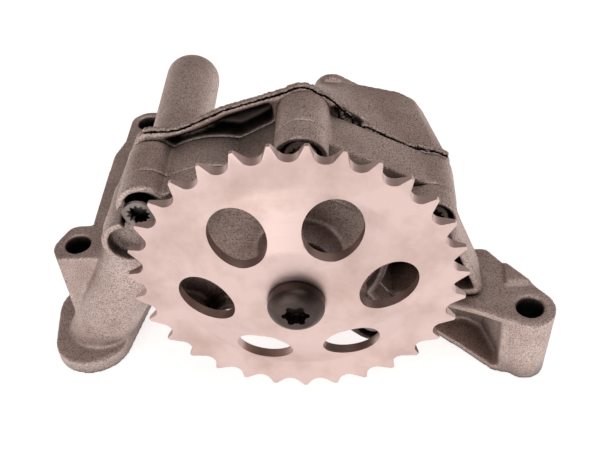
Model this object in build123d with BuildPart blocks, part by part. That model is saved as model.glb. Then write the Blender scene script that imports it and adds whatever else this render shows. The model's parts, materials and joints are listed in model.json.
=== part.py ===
"""Chain-driven engine oil pump: three bolted castings, a pair of spur gears, a dished
sprocket on the drive shaft and a sprung relief valve.

Frame: X to the right, Y away from the sprocket along the drive shaft, Z up. The origin is
on the drive axis, in the middle of the chain's plane. All sizes are in millimetres.
"""

from build123d import *
from math import atan, cos, pi, radians, sin, sqrt, tan
import os

# Chain drive
CHAIN_PITCH = 9.525
ROLLER_DIAMETER = 6.35
SPROCKET_TEETH = 31
SPROCKET_PHASE = 7.13
PLATE_THICKNESS = 3.2
SEAT_CLEARANCE = 0.05
TOOTH_TIP_WIDTH = 1.4
TOOTH_BEVEL_DEPTH = 3.4
TOOTH_EDGE_THICKNESS = 1.2
GULLET_TIP_ROUNDING = 0.6
PITCH_RADIUS = CHAIN_PITCH / (2 * sin(pi / SPROCKET_TEETH))
TIP_RADIUS = PITCH_RADIUS + CHAIN_PITCH * (1 - 1.6 / SPROCKET_TEETH) / 2 - ROLLER_DIAMETER / 2
SEAT_RADIUS = ROLLER_DIAMETER / 2 + SEAT_CLEARANCE

# Dished web of the sprocket
DISH_DEPTH = 7.0
DISH_OUTER_RADIUS = 35.6
DISH_HUB_RADIUS = 18.4
WEB_HOLES = 6
WEB_HOLE_RADIUS = 8.4
WEB_HOLE_CIRCLE = 26.0
WEB_HOLE_PHASE = 3.7
BEND_RADIUS = 6.0

# Depths along the shaft
COVER_RIM_Y = 7.8
COVER_FLOOR_Y = 12.0
PARTING_Y = 15.6
SPLIT_Y = 29.2
FLANGE_THICKNESS = 2.6
BACK_WALL_THICKNESS = 10.0
CHAMBER_DEPTH = 22.8
BEARING_DEPTH = 18.0
BEARING_BORE_DEPTH = 15.0
BEARING_WALL = 4.0

# Heights
BASE_Z = -54.0
LEFT_BOSS_TOP_Z = -14.0
RIGHT_BOSS_TOP_Z = -26.3

# Pump gears
GEAR_TEETH = 10
GEAR_MODULE = 2.6
PRESSURE_ANGLE = 28.0
GEAR_BACKLASH = 0.16
GEAR_TIP_CLEARANCE = 0.12
GEAR_SIDE_CLEARANCE = 0.04
GEAR_ROOT_OVERLAP = 0.5
DRIVEN_GEAR_DIRECTION = 174.5

# Shafts, bushes and running fits
SHAFT_RADIUS = 6.5
SHAFT_COLLAR_RADIUS = 8.6
SHAFT_COLLAR_LENGTH = 4.0
SHAFT_NOSE_RADIUS = 6.0
SHAFT_NOSE_FLAT = 5.1
SHAFT_END_GAP = 0.2
SHAFT_END_CLEARANCE = 1.0
BOLT_TIP_CLEARANCE = 2.0
SHAFT_CLEARANCE = 0.03
BUSH_WALL = 1.5
BUSH_CHAMFER = 0.4
REAR_BUSH_LENGTH = 12.0
IDLER_RADIUS = 5.0
IDLER_SEAT_DEPTH = 9.0
IDLER_COVER_DEPTH = 2.2
KEY_WIDTH = 3.0
KEY_HEIGHT = 3.0
KEY_LENGTH = 10.0
FIT_GAP = 0.02
END_CHAMFER = 0.6

# Sprocket bolt
BOLT_HEAD_RADIUS = 8.0
BOLT_RIM_HEIGHT = 2.8
BOLT_HEAD_HEIGHT = 5.7
BOLT_DOME_BULGE = 0.35
BOLT_SHANK_RADIUS = 4.0
BOLT_THREAD_LENGTH = 24.0
TORX_LOBES = 6
TORX_LOBE_CIRCLE = 2.95
TORX_LOBE_RADIUS = 0.95
TORX_CORE_RADIUS = 3.0
TORX_DEPTH = 3.4

# Screws that hold the castings together
SCREW_RADIUS = 3.0
SCREW_HOLE_RADIUS = 3.3
SCREW_HEAD_RADIUS = 4.9
SCREW_HEAD_HEIGHT = 4.0
SCREW_SOCKET_RADIUS = 3.6
SCREW_SOCKET_DEPTH = 3.0
SCREW_SOCKET_TURNS = [0, 30, 60]
SCREW_SEAT_Y = 13.2
SCREW_LENGTH = 21.0
SCREW_WELL_RADIUS = 5.9
SCREW_TAP_EXTRA = 1.0
SCREW_BACK_WALL = 1.5
SCREW_BACK_RADIUS = 4.6
TOP_BOSS = (3.4, 37.0)
TOP_BOSS_RADIUS = 7.45
UPPER_LEFT_BOSS = (-41.8, 21.6)
UPPER_LEFT_BOSS_RADIUS = 7.9
UPPER_LEFT_SCREW = (-44.2, 18.2)
RIGHT_BOSS = (38.3, 13.4)
RIGHT_BOSS_RADIUS = 7.2
LOWER_RIGHT_BOSS = (21.5, -30.0)
LOWER_LEFT_BOSS = (-38.0, -24.0)
LOWER_BOSS_RADIUS = 7.2

# Walls and lobes of the castings
RIM_WALL = 2.0
HUB_BOSS_RADIUS = 12.5
HUB_BOSS_TAPER = 14.0
HUB_BOSS_FRONT_Y = 4.2
SIDE_LOBE = (-48.8, 8.0)
SIDE_LOBE_RADIUS = 8.2
RIGHT_BRIDGE = ((10.0, 4.0), 15.0)
LOWER_BRIDGE = ((8.0, -12.0), 10.0)
DRIVEN_WALL_PLACE = (-22.8, 4.3)
DRIVEN_WALL_RADIUS = 25.6
DRIVE_WALL_RADIUS = 26.0
LOWER_LEFT_BRIDGE = ((-30.0, -8.0), 14.0)
TOP_WEB_CORNERS = [(-16.6, 28.5), (-5.0, 34.4), (3.4, 37.0), (3.4, 20.0), (-16.6, 20.0)]
WING_WALL = 2.6
WING_CORNERS = [
    (2.0, 41.0), (36.5, 21.5), (45.8, 14.0), (46.0, 2.0), (56.2, -26.0), (8.0, -26.0), (0.0, 0.0)
]
WING_RADII = [3.0, 3.0, 4.0, 20.0, 3.0, 6.0, 8.0]
FLANGE_CORNERS = [
    (-45.3, 31.6), (-33.6, 31.6), (-19.0, 38.2), (-2.2, 42.9), (4.4, 45.6), (19.6, 31.2),
    (33.0, 21.8), (44.6, 19.0), (46.0, 2.0), (59.0, -40.0), (20.0, -40.0), (-40.0, -33.0),
    (-60.0, -20.0), (-65.2, -7.0), (-48.0, 26.0),
]
FLANGE_RADII = [4.0, 12.0, 10.0, 4.0, 5.0, 16.0, 12.0, 3.5, 20.0, 4.0, 10.0, 10.0, 8.0, 5.0, 5.0]

# Dowels between the castings
DOWEL_RADIUS = 2.5
DOWEL_PLACES = [(-14.5, 24.5), (-6.0, -22.2)]
DOWEL_COVER_DEPTH = 2.4
DOWEL_REAR_DEPTH = 6.0

# Pocket behind the flange's front face and the brow that roofs it
BROW_DEPTH = 6.0
BROW_FRONT_CORNERS = [
    (-40.0, 30.0), (-33.6, 30.9), (-19.0, 37.6), (-2.0, 42.4), (4.0, 43.0), (4.0, 10.0),
    (-40.0, 10.0),
]
BROW_BACK_CORNERS = [
    (-40.0, 25.4), (-33.6, 26.2), (-19.0, 31.8), (-2.0, 36.8), (4.0, 38.0), (4.0, 10.0),
    (-40.0, 10.0),
]
POCKET_DEPTH = 7.2
POCKET_FRONT_CORNERS = [
    (-39.4, 28.6), (-33.8, 30.2), (-26.7, 32.6), (-18.2, 36.9), (-5.2, 40.8), (-5.2, 20.0),
    (-39.4, 20.0),
]
POCKET_BACK_CORNERS = [
    (-38.6, 25.6), (-33.4, 26.6), (-26.3, 28.6), (-18.0, 32.4), (-6.0, 36.0), (-6.0, 20.0),
    (-38.6, 20.0),
]
SIDE_POCKET_DEPTH = 5.0
SIDE_POCKETS = [
    [(11.4, 38.6), (20.6, 30.6), (18.0, 28.0), (10.6, 33.4)],
    [(30.0, 22.6), (37.0, 19.2), (41.5, 18.2), (38.0, 14.0), (28.0, 18.0)],
]

# Suction chamber: its shape at the split and at its back, and its plan
CHAMBER_FRONT_CORNERS = [
    (3.4, 42.8), (9.8, 42.2), (19.7, 31.2), (33.0, 22.2), (41.0, 20.2), (44.5, 18.0), (46.0, 2.0),
    (59.5, -38.0), (12.0, -38.0), (3.4, 20.0),
]
CHAMBER_BACK_CORNERS = [
    (2.2, 29.4), (7.4, 31.4), (19.0, 30.4), (30.6, 27.2), (35.2, 24.2), (38.0, 19.4), (39.2, 4.0),
    (52.0, -38.0), (12.0, -38.0), (2.2, 20.0),
]
CHAMBER_LEFT_X = 1.6
CHAMBER_RIGHT_X = 90.0
CHAMBER_PLAN_RADII = [1.0, 4.0, 1.0, 1.0]

# Mounting bosses with vertical bores
MOUNT_BORE_RADIUS = 4.25
MOUNT_BOSS_RADIUS = 8.0
REAR_BOSS_RADIUS = 7.0
RIGHT_MOUNT = (69.0, 10.9)
FRONT_LEFT_MOUNT = (-75.0, 32.1)
REAR_LEFT_MOUNT = (-62.0, 97.8)
BOSS_DRAFT = 1.5
RIGHT_BOSS_DRAFT = 3.4
FRONT_BOSS_CORNERS = [(-66.8, 25.2), (-80.6, 25.2), (-83.6, 31.0), (-79.0, 41.0), (-64.0, 41.0)]
FRONT_BOSS_RADII = [0.6, 2.0, 5.0, 4.0, 2.0]
RAIL_CORNERS = [
    (-72.0, 32.0), (-71.9, 78.0), (-69.5, 80.6), (-68.8, 102.0), (-62.0, 104.8), (-54.5, 98.0),
    (-46.0, 76.0), (-46.0, 32.0),
]
RAIL_RADII = [2.0, 1.5, 1.5, 4.0, 5.0, 6.0, 10.0, 2.0]
RAIL_THICKNESS = 6.0
RAIL_WALL_CORNERS = [
    (-72.0, 36.0), (-71.9, 78.0), (-66.5, 96.0), (-61.5, 94.0), (-66.9, 76.0), (-67.0, 36.0),
]
RAIL_WALL_RADII = [1.0, 6.0, 1.0, 1.0, 6.0, 1.0]
RAIL_WALL_HEIGHT = 26.0

# Outlet duct and its foot
FOOT_CENTRE = (-76.1, 22.8)
FOOT_RADIUS = 13.0
FOOT_BACK = ((-77.3, 36.0), 13.6)
FOOT_THICKNESS = 5.5
DUCT_RADIUS = 10.6
DUCT_FOOT_X = -76.2
DUCT_TOP_X = -52.8
DUCT_TOP_Z = -11.0
DUCT_Y = 27.1
DUCT_CASE_GAP = 0.4
GALLERY_BLOCK = [((-66.0, -36.0), 9.0), ((-44.0, -12.0), 12.0)]
GALLERY_FRONT_Y = 32.0
GALLERY_BACK_Y = 50.0
CROSS_BORE_START = (-67.5, 42.0, -38.0)
CROSS_BORE_END = (-38.0, 36.0, -8.0)
CROSS_BORE_RADIUS = 4.5
OUTLET_PLACE = (-67.5, 42.0)
OUTLET_PAD_RADIUS = 8.5
OUTLET_RADIUS = 4.8
OUTLET_DEPTH = 18.0
OUTLET_END_WALL = 2.5
SEAL_GAP = 0.6
SEAL_SECTION = 1.6
SEAL_SINK = 0.1

# Right arm: two plates joined by a web at the back, open at the front
ARM_CORNERS = [
    (36.0, 32.0), (40.0, 15.0), (53.7, 9.7), (63.6, 4.6), (75.0, 16.0), (71.6, 20.4), (63.0, 30.6),
    (58.4, 37.2), (40.0, 37.2),
]
ARM_RADII = [1.0, 2.0, 10.0, 3.0, 2.0, 2.0, 4.0, 2.0, 1.0]
ARM_BODY_CORNERS = [
    (36.0, 32.0), (40.0, 15.0), (53.7, 9.7), (64.6, 6.4), (73.4, 14.8), (70.6, 20.4), (63.0, 30.6),
    (58.4, 37.2), (40.0, 37.2),
]
ARM_PLATE = 2.6
ARM_RECESS_CORNERS = [
    (30.0, 0.0), (60.2, 0.0), (60.6, 14.0), (57.0, 25.0), (52.0, 28.8), (30.0, 28.8),
]
ARM_RECESS_RADII = [1.0, 1.0, 5.0, 4.0, 4.0, 1.0]
ARM_TRIM_CORNERS = [
    (30.0, 0.0), (61.0, 0.0), (60.6, 5.0), (57.8, 9.2), (49.0, 17.6), (42.8, 23.0),
    (30.0, 34.0),
]
ARM_TRIM_RADII = [1.0, 1.0, 1.5, 4.0, 6.0, 2.0, 1.0]
GUSSET_CORNERS = [(62.9, 20.8), (71.1, 20.8), (63.4, 30.2)]
GUSSET_RADII = [0.4, 0.4, 0.4]
GUSSET_HEIGHT = 1.2

# Relief valve in the blind tube
RELIEF_PLACE = (-36.7, 19.2)
RELIEF_TUBE_RADIUS = 8.8
RELIEF_TUBE_LENGTH = 51.0
RELIEF_END_ROUNDING = 5.0
RELIEF_BORE_PLACE = (-35.2, 19.4)
RELIEF_BORE_RADIUS = 4.8
RELIEF_BORE_DEPTH = 45.0
RELIEF_CLEARANCE = 0.03
RELIEF_SEAT_INSET = 2.0
RELIEF_SEAT_LENGTH = 4.0
RELIEF_SEAT_HOLE_RADIUS = 2.6
RELIEF_PISTON_LENGTH = 14.0
RELIEF_PISTON_WALL = 1.0
RELIEF_PISTON_FACE = 2.5
SPRING_WIRE_RADIUS = 0.6
SPRING_COIL_RADIUS = 2.9
SPRING_TURNS = 7
SPRING_SEAT_THICKNESS = 1.5
SEAT_DISC_CHAMFER = 0.3

# Suction inlet at the back
INLET_PLACE = (20.0, 12.0)
INLET_RADIUS = 9.0
INLET_FRONT_WALL = 4.0
INLET_FLANGE_RADIUS = 13.0
INLET_FLANGE_THICKNESS = 3.0
INLET_SCREW_SPACING = 36.0
INLET_SCREW_TURN = -58.0
INLET_EAR_RADIUS = 5.5
INLET_SCREW_RADIUS = 2.5
INLET_SCREW_DEPTH = 10.0

# Channels in the rear housing's front face, above and below the gear mesh
CHANNEL_DEPTH = 8.0
SUCTION_CHANNEL = [((-15.0, 13.0), 4.5), ((18.0, 16.0), 6.0)]
DELIVERY_CHANNEL = [((-15.5, -10.5), 4.5), ((-36.0, -10.0), 5.0)]

# Sizes that follow from the ones above
GEAR_WIDTH = SPLIT_Y - PARTING_Y
CHAMBER_BACK_Y = SPLIT_Y + CHAMBER_DEPTH
CHAMBER_PLAN_CORNERS = [
    (CHAMBER_LEFT_X, PARTING_Y), (CHAMBER_LEFT_X, CHAMBER_BACK_Y), (CHAMBER_RIGHT_X, CHAMBER_BACK_Y),
    (CHAMBER_RIGHT_X, PARTING_Y),
]
RIM_FRONT_Y = -PLATE_THICKNESS / 2
HUB_FRONT_Y = RIM_FRONT_Y - DISH_DEPTH
HUB_BACK_Y = HUB_FRONT_Y + PLATE_THICKNESS
COLLAR_BACK_Y = HUB_BACK_Y + SHAFT_COLLAR_LENGTH
SHAFT_END_Y = SPLIT_Y + BEARING_BORE_DEPTH - SHAFT_END_CLEARANCE
BOLT_HOLE_DEPTH = BOLT_THREAD_LENGTH + BOLT_TIP_CLEARANCE
BEVEL_RADIUS = TIP_RADIUS - TOOTH_BEVEL_DEPTH
SPROCKET_SECTION = [
    (0.0, HUB_FRONT_Y), (DISH_HUB_RADIUS, HUB_FRONT_Y), (DISH_OUTER_RADIUS, RIM_FRONT_Y),
    (BEVEL_RADIUS, RIM_FRONT_Y), (TIP_RADIUS, -TOOTH_EDGE_THICKNESS / 2),
    (TIP_RADIUS, TOOTH_EDGE_THICKNESS / 2), (BEVEL_RADIUS, -RIM_FRONT_Y),
    (DISH_OUTER_RADIUS, -RIM_FRONT_Y), (DISH_HUB_RADIUS, HUB_BACK_Y), (0.0, HUB_BACK_Y),
]
GULLET_HALF_WIDTH = TIP_RADIUS * sin(pi / SPROCKET_TEETH) - TOOTH_TIP_WIDTH / 2
BOLT_DOME_HEIGHT = BOLT_HEAD_HEIGHT - BOLT_RIM_HEIGHT
BOLT_DOME_RADIUS = 5.2
BOLT_SECTION = [
    (BOLT_DOME_RADIUS, HUB_FRONT_Y - BOLT_HEAD_HEIGHT), (0.0, HUB_FRONT_Y - BOLT_HEAD_HEIGHT),
    (0.0, HUB_FRONT_Y + BOLT_THREAD_LENGTH),
    (BOLT_SHANK_RADIUS - END_CHAMFER, HUB_FRONT_Y + BOLT_THREAD_LENGTH),
    (BOLT_SHANK_RADIUS, HUB_FRONT_Y + BOLT_THREAD_LENGTH - END_CHAMFER),
    (BOLT_SHANK_RADIUS, HUB_FRONT_Y), (BOLT_HEAD_RADIUS, HUB_FRONT_Y),
    (BOLT_HEAD_RADIUS, HUB_FRONT_Y - BOLT_RIM_HEIGHT),
]
BOLT_DOME_MIDDLE = (
    (BOLT_DOME_RADIUS + BOLT_HEAD_RADIUS) / 2 + BOLT_DOME_BULGE,
    HUB_FRONT_Y - BOLT_RIM_HEIGHT - BOLT_DOME_HEIGHT / 2 - BOLT_DOME_BULGE,
)
GEAR_FRONT_Y = PARTING_Y + GEAR_SIDE_CLEARANCE
GEAR_BACK_Y = SPLIT_Y - GEAR_SIDE_CLEARANCE
KEY_MIDDLE_Y = (PARTING_Y + SPLIT_Y) / 2
GEAR_PITCH_RADIUS = GEAR_TEETH * GEAR_MODULE / 2
GEAR_TIP_RADIUS = GEAR_PITCH_RADIUS + GEAR_MODULE
GEAR_ROOT_RADIUS = GEAR_PITCH_RADIUS - 1.2 * GEAR_MODULE
GEAR_BASE_RADIUS = GEAR_PITCH_RADIUS * cos(radians(PRESSURE_ANGLE))
POCKET_RADIUS = GEAR_TIP_RADIUS + GEAR_TIP_CLEARANCE
DRIVEN_PLACE = (
    2 * GEAR_PITCH_RADIUS * cos(radians(DRIVEN_GEAR_DIRECTION)),
    2 * GEAR_PITCH_RADIUS * sin(radians(DRIVEN_GEAR_DIRECTION)),
)
BUSH_RADIUS = SHAFT_RADIUS + SHAFT_CLEARANCE + BUSH_WALL
IDLER_BUSH_RADIUS = IDLER_RADIUS + SHAFT_CLEARANCE + BUSH_WALL
SCREW_SOCKET_SIDE = SCREW_SOCKET_RADIUS * sqrt(2)
SCREW_TAP_DEPTH = SCREW_SEAT_Y + SCREW_LENGTH + SCREW_TAP_EXTRA - SPLIT_Y
SCREW_PLACES = [TOP_BOSS, UPPER_LEFT_SCREW, RIGHT_BOSS, LOWER_RIGHT_BOSS, LOWER_LEFT_BOSS]
RELIEF_SEAT_FRONT_Y = SPLIT_Y + RELIEF_SEAT_INSET
RELIEF_SEAT_BACK_Y = RELIEF_SEAT_FRONT_Y + RELIEF_SEAT_LENGTH
RELIEF_BORE_END_Y = SPLIT_Y + RELIEF_BORE_DEPTH
PISTON_FRONT_Y = RELIEF_SEAT_BACK_Y + FIT_GAP
SPRING_SEAT_FRONT_Y = RELIEF_BORE_END_Y - SPRING_SEAT_THICKNESS
SPRING_FRONT_Y = PISTON_FRONT_Y + RELIEF_PISTON_FACE + SPRING_WIRE_RADIUS + FIT_GAP
SPRING_BACK_Y = SPRING_SEAT_FRONT_Y - SPRING_WIRE_RADIUS - FIT_GAP
INLET_BACK_Y = CHAMBER_BACK_Y + INLET_FLANGE_THICKNESS
INLET_SCREWS = [
    (INLET_PLACE[0] + INLET_SCREW_SPACING / 2 * cos(radians(INLET_SCREW_TURN)),
     INLET_PLACE[1] + INLET_SCREW_SPACING / 2 * sin(radians(INLET_SCREW_TURN))),
    (INLET_PLACE[0] - INLET_SCREW_SPACING / 2 * cos(radians(INLET_SCREW_TURN)),
     INLET_PLACE[1] - INLET_SCREW_SPACING / 2 * sin(radians(INLET_SCREW_TURN))),
]
INLET_FLANGE = [
    (INLET_PLACE, INLET_FLANGE_RADIUS),
    (INLET_SCREWS[0], INLET_EAR_RADIUS),
    (INLET_SCREWS[1], INLET_EAR_RADIUS),
]

os.makedirs("parts", exist_ok=True)


def facing(y):
    """Plane across the shaft at depth y, with its own axes along X and Z."""
    return Plane.XZ.offset(-y)


def save(builder, name):
    """Label a finished piece and write it as its own file."""
    builder.part.label = name
    export_step(builder.part, f"parts/{name}.step")


def polar(radius, angle):
    """Point at a radius and an angle in radians."""
    return (radius * cos(angle), radius * sin(angle))


def add_circle(centre, radius, mode=Mode.ADD):
    """Circle at a place in the current sketch."""
    with Locations(centre):
        Circle(radius, mode=mode)


def cut_hole(centre, radius, front_y, depth):
    """Round hole along the shaft's direction, from a depth backwards."""
    with BuildSketch(facing(front_y)) as hole:
        add_circle(centre, radius)
    extrude(hole.sketch, amount=-depth, mode=Mode.SUBTRACT)


def cut_screw_holes(places, radius, front_y, depth):
    """Equal round holes at several places."""
    for place in places:
        cut_hole(place, radius, front_y, depth)


def closed_outline(corners, radii):
    """Closed face from corner points with one fillet radius for each corner."""
    with BuildSketch(mode=Mode.PRIVATE) as face:
        with BuildLine():
            FilletPolyline(*corners, radius=radii, close=True)
        make_face()
    return face.sketch


def circle_hull(*circles):
    """Hull round circles, each given as its centre and radius."""
    with BuildSketch(mode=Mode.PRIVATE) as hull:
        for centre, radius in circles:
            add_circle(centre, radius)
        make_hull()
    return hull.sketch


def gear_case_outline():
    """Walls round both gears, the screw bosses and the lobes between them."""
    with BuildSketch(mode=Mode.PRIVATE) as walls:
        add_circle(DRIVEN_WALL_PLACE, DRIVEN_WALL_RADIUS)
        add_circle((0, 0), DRIVE_WALL_RADIUS)
        Polygon(*TOP_WEB_CORNERS, align=None)
        add(circle_hull((RIGHT_BOSS, RIGHT_BOSS_RADIUS), RIGHT_BRIDGE))
        add(circle_hull((LOWER_RIGHT_BOSS, LOWER_BOSS_RADIUS), LOWER_BRIDGE))
        add(circle_hull((LOWER_LEFT_BOSS, LOWER_BOSS_RADIUS), LOWER_LEFT_BRIDGE))
        add_circle(UPPER_LEFT_BOSS, UPPER_LEFT_BOSS_RADIUS)
        add_circle(SIDE_LOBE, SIDE_LOBE_RADIUS)
        add_circle(TOP_BOSS, TOP_BOSS_RADIUS)
    return walls.sketch


CASE_OUTLINE = gear_case_outline()
WING_OUTLINE = closed_outline(WING_CORNERS, WING_RADII)
FLANGE_OUTLINE = closed_outline(FLANGE_CORNERS, FLANGE_RADII)

with BuildSketch() as wing_recess_sketch:
    add(WING_OUTLINE)
    offset(amount=-WING_WALL, mode=Mode.REPLACE)
    add(CASE_OUTLINE, mode=Mode.SUBTRACT)
WING_RECESS = wing_recess_sketch.sketch.faces().sort_by(SortBy.AREA)[-1]

# Front cover: an open pan with a tower round each screw and a hub round the shaft
with BuildPart() as front_cover:
    with BuildSketch(facing(COVER_RIM_Y)):
        add(CASE_OUTLINE)
    extrude(amount=-(PARTING_Y - COVER_RIM_Y))
    with BuildSketch(facing(COVER_RIM_Y)):
        add(CASE_OUTLINE)
        offset(amount=-RIM_WALL, mode=Mode.REPLACE)
        for place in (TOP_BOSS, RIGHT_BOSS, LOWER_RIGHT_BOSS, LOWER_LEFT_BOSS):
            add_circle(place, SCREW_WELL_RADIUS + RIM_WALL, Mode.SUBTRACT)
    extrude(amount=-(COVER_FLOOR_Y - COVER_RIM_Y), mode=Mode.SUBTRACT)
    with BuildSketch(facing(COVER_FLOOR_Y)):
        Circle(HUB_BOSS_RADIUS)
    extrude(amount=COVER_FLOOR_Y - HUB_BOSS_FRONT_Y, taper=HUB_BOSS_TAPER)
    cut_screw_holes(SCREW_PLACES, SCREW_WELL_RADIUS, COVER_RIM_Y, SCREW_SEAT_Y - COVER_RIM_Y)
    cut_screw_holes(SCREW_PLACES, SCREW_HOLE_RADIUS, COVER_RIM_Y, PARTING_Y - COVER_RIM_Y)
    cut_screw_holes(DOWEL_PLACES, DOWEL_RADIUS, PARTING_Y - DOWEL_COVER_DEPTH, DOWEL_COVER_DEPTH)
    cut_hole((0, 0), BUSH_RADIUS, HUB_BOSS_FRONT_Y, PARTING_Y - HUB_BOSS_FRONT_Y)
    cut_hole(DRIVEN_PLACE, IDLER_RADIUS, PARTING_Y - IDLER_COVER_DEPTH, IDLER_COVER_DEPTH)
save(front_cover, "front_cover")

# Gear housing: the plate that the two gears turn in, with an open wing at the right
with BuildPart() as gear_housing:
    with BuildSketch(facing(PARTING_Y)):
        add(CASE_OUTLINE)
        add(WING_OUTLINE)
        add(WING_RECESS, mode=Mode.SUBTRACT)
        add_circle((0, 0), POCKET_RADIUS, Mode.SUBTRACT)
        add_circle(DRIVEN_PLACE, POCKET_RADIUS, Mode.SUBTRACT)
    extrude(amount=-GEAR_WIDTH)
    cut_screw_holes(SCREW_PLACES, SCREW_HOLE_RADIUS, PARTING_Y, GEAR_WIDTH)
    cut_screw_holes(DOWEL_PLACES, DOWEL_RADIUS, PARTING_Y, GEAR_WIDTH)
save(gear_housing, "gear_housing")


def drafted_boss(place, radius, top_z, draft):
    """Boss from its top down to the mounting plane, narrowing by the casting draft."""
    with BuildSketch(Plane.XY.offset(top_z)) as top:
        add_circle(place, radius)
    extrude(top.sketch, amount=BASE_Z - top_z, taper=draft)


def slab(outline, top_z, thickness, mode=Mode.ADD):
    """Level plate from an outline in plan, hanging down from its top."""
    with BuildSketch(Plane.XY.offset(top_z)) as plan:
        add(outline)
    extrude(plan.sketch, amount=-thickness, mode=mode)


def mount_bore(place, top_z):
    """Vertical bolt hole right through a mounting boss."""
    with BuildSketch(Plane.XY.offset(top_z)) as hole:
        add_circle(place, MOUNT_BORE_RADIUS)
    extrude(hole.sketch, amount=BASE_Z - top_z, mode=Mode.SUBTRACT)


def lofted_block(front_corners, front_y, back_corners, back_y):
    """Block with straight edges between two outlines across the shaft."""
    with BuildPart(mode=Mode.PRIVATE) as block:
        for corners, y in ((front_corners, front_y), (back_corners, back_y)):
            with BuildSketch(facing(y)):
                Polygon(*corners, align=None)
        loft(ruled=True)
    return block.part


def bore_along(start, direction, radius, length):
    """Round passage cut from a point along a direction."""
    with BuildSketch(Plane(origin=start, z_dir=direction)) as bore:
        Circle(radius)
    extrude(bore.sketch, amount=length, mode=Mode.SUBTRACT)


def chamber_block():
    """Suction chamber with a rising roof and a side that leans in, rounded in plan."""
    with BuildPart(mode=Mode.PRIVATE) as block:
        add(lofted_block(CHAMBER_FRONT_CORNERS, SPLIT_Y, CHAMBER_BACK_CORNERS, CHAMBER_BACK_Y))
        with BuildSketch(Plane.XY.offset(BASE_Z)):
            add(closed_outline(CHAMBER_PLAN_CORNERS, CHAMBER_PLAN_RADII))
        extrude(amount=-2 * BASE_Z, mode=Mode.INTERSECT)
    return block.part


def gear_pocket():
    """Hollow between the gear case and the flange's rim, narrowing to its floor."""
    with BuildPart(mode=Mode.PRIVATE) as hollow:
        add(lofted_block(POCKET_FRONT_CORNERS, SPLIT_Y, POCKET_BACK_CORNERS, SPLIT_Y + POCKET_DEPTH))
        with BuildSketch(facing(SPLIT_Y)):
            add(CASE_OUTLINE)
        extrude(amount=-POCKET_DEPTH, mode=Mode.SUBTRACT)
    return hollow.part


def outlet_duct():
    """Leaning pipe from the foot up to the gear case, with a domed end and room for the case."""
    foot = Vector(DUCT_FOOT_X, DUCT_Y, BASE_Z)
    top = Vector(DUCT_TOP_X, DUCT_Y, DUCT_TOP_Z)
    with BuildPart(mode=Mode.PRIVATE) as pipe:
        with BuildSketch(Plane(origin=foot, z_dir=top - foot)):
            Circle(DUCT_RADIUS)
        extrude(amount=(top - foot).length)
        with BuildSketch(Plane(origin=foot, z_dir=top - foot)):
            Circle(DUCT_RADIUS)
        extrude(amount=-DUCT_RADIUS)
        with Locations(top):
            Sphere(DUCT_RADIUS)
        with BuildSketch(facing(0)):
            add(CASE_OUTLINE)
            offset(amount=DUCT_CASE_GAP)
        extrude(amount=-SPLIT_Y, mode=Mode.SUBTRACT)
        with BuildSketch(Plane.XY.offset(BASE_Z)):
            add_circle((DUCT_FOOT_X, DUCT_Y), 3 * DUCT_RADIUS)
        extrude(amount=-3 * DUCT_RADIUS, mode=Mode.SUBTRACT)
    return pipe.part


CHAMBER = chamber_block()
BROW = lofted_block(
    BROW_FRONT_CORNERS, SPLIT_Y + FLANGE_THICKNESS,
    BROW_BACK_CORNERS, SPLIT_Y + FLANGE_THICKNESS + BROW_DEPTH,
)
POCKET = gear_pocket()
FRONT_BOSS_PLAN = closed_outline(FRONT_BOSS_CORNERS, FRONT_BOSS_RADII)
RAIL_PLAN = closed_outline(RAIL_CORNERS, RAIL_RADII)
RAIL_WALL_PLAN = closed_outline(RAIL_WALL_CORNERS, RAIL_WALL_RADII)
FOOT_PLAN = circle_hull(
    (FOOT_CENTRE, FOOT_RADIUS), FOOT_BACK, (OUTLET_PLACE, OUTLET_PAD_RADIUS)
)
ARM_PLAN = closed_outline(ARM_CORNERS, ARM_RADII)
ARM_BODY_PLAN = closed_outline(ARM_BODY_CORNERS, ARM_RADII)
ARM_RECESS_PLAN = closed_outline(ARM_RECESS_CORNERS, ARM_RECESS_RADII)
ARM_TRIM_PLAN = closed_outline(ARM_TRIM_CORNERS, ARM_TRIM_RADII)
GUSSET_PLAN = closed_outline(GUSSET_CORNERS, GUSSET_RADII)
ARM_INSIDE_HEIGHT = RIGHT_BOSS_TOP_Z - BASE_Z - 2 * ARM_PLATE

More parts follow.
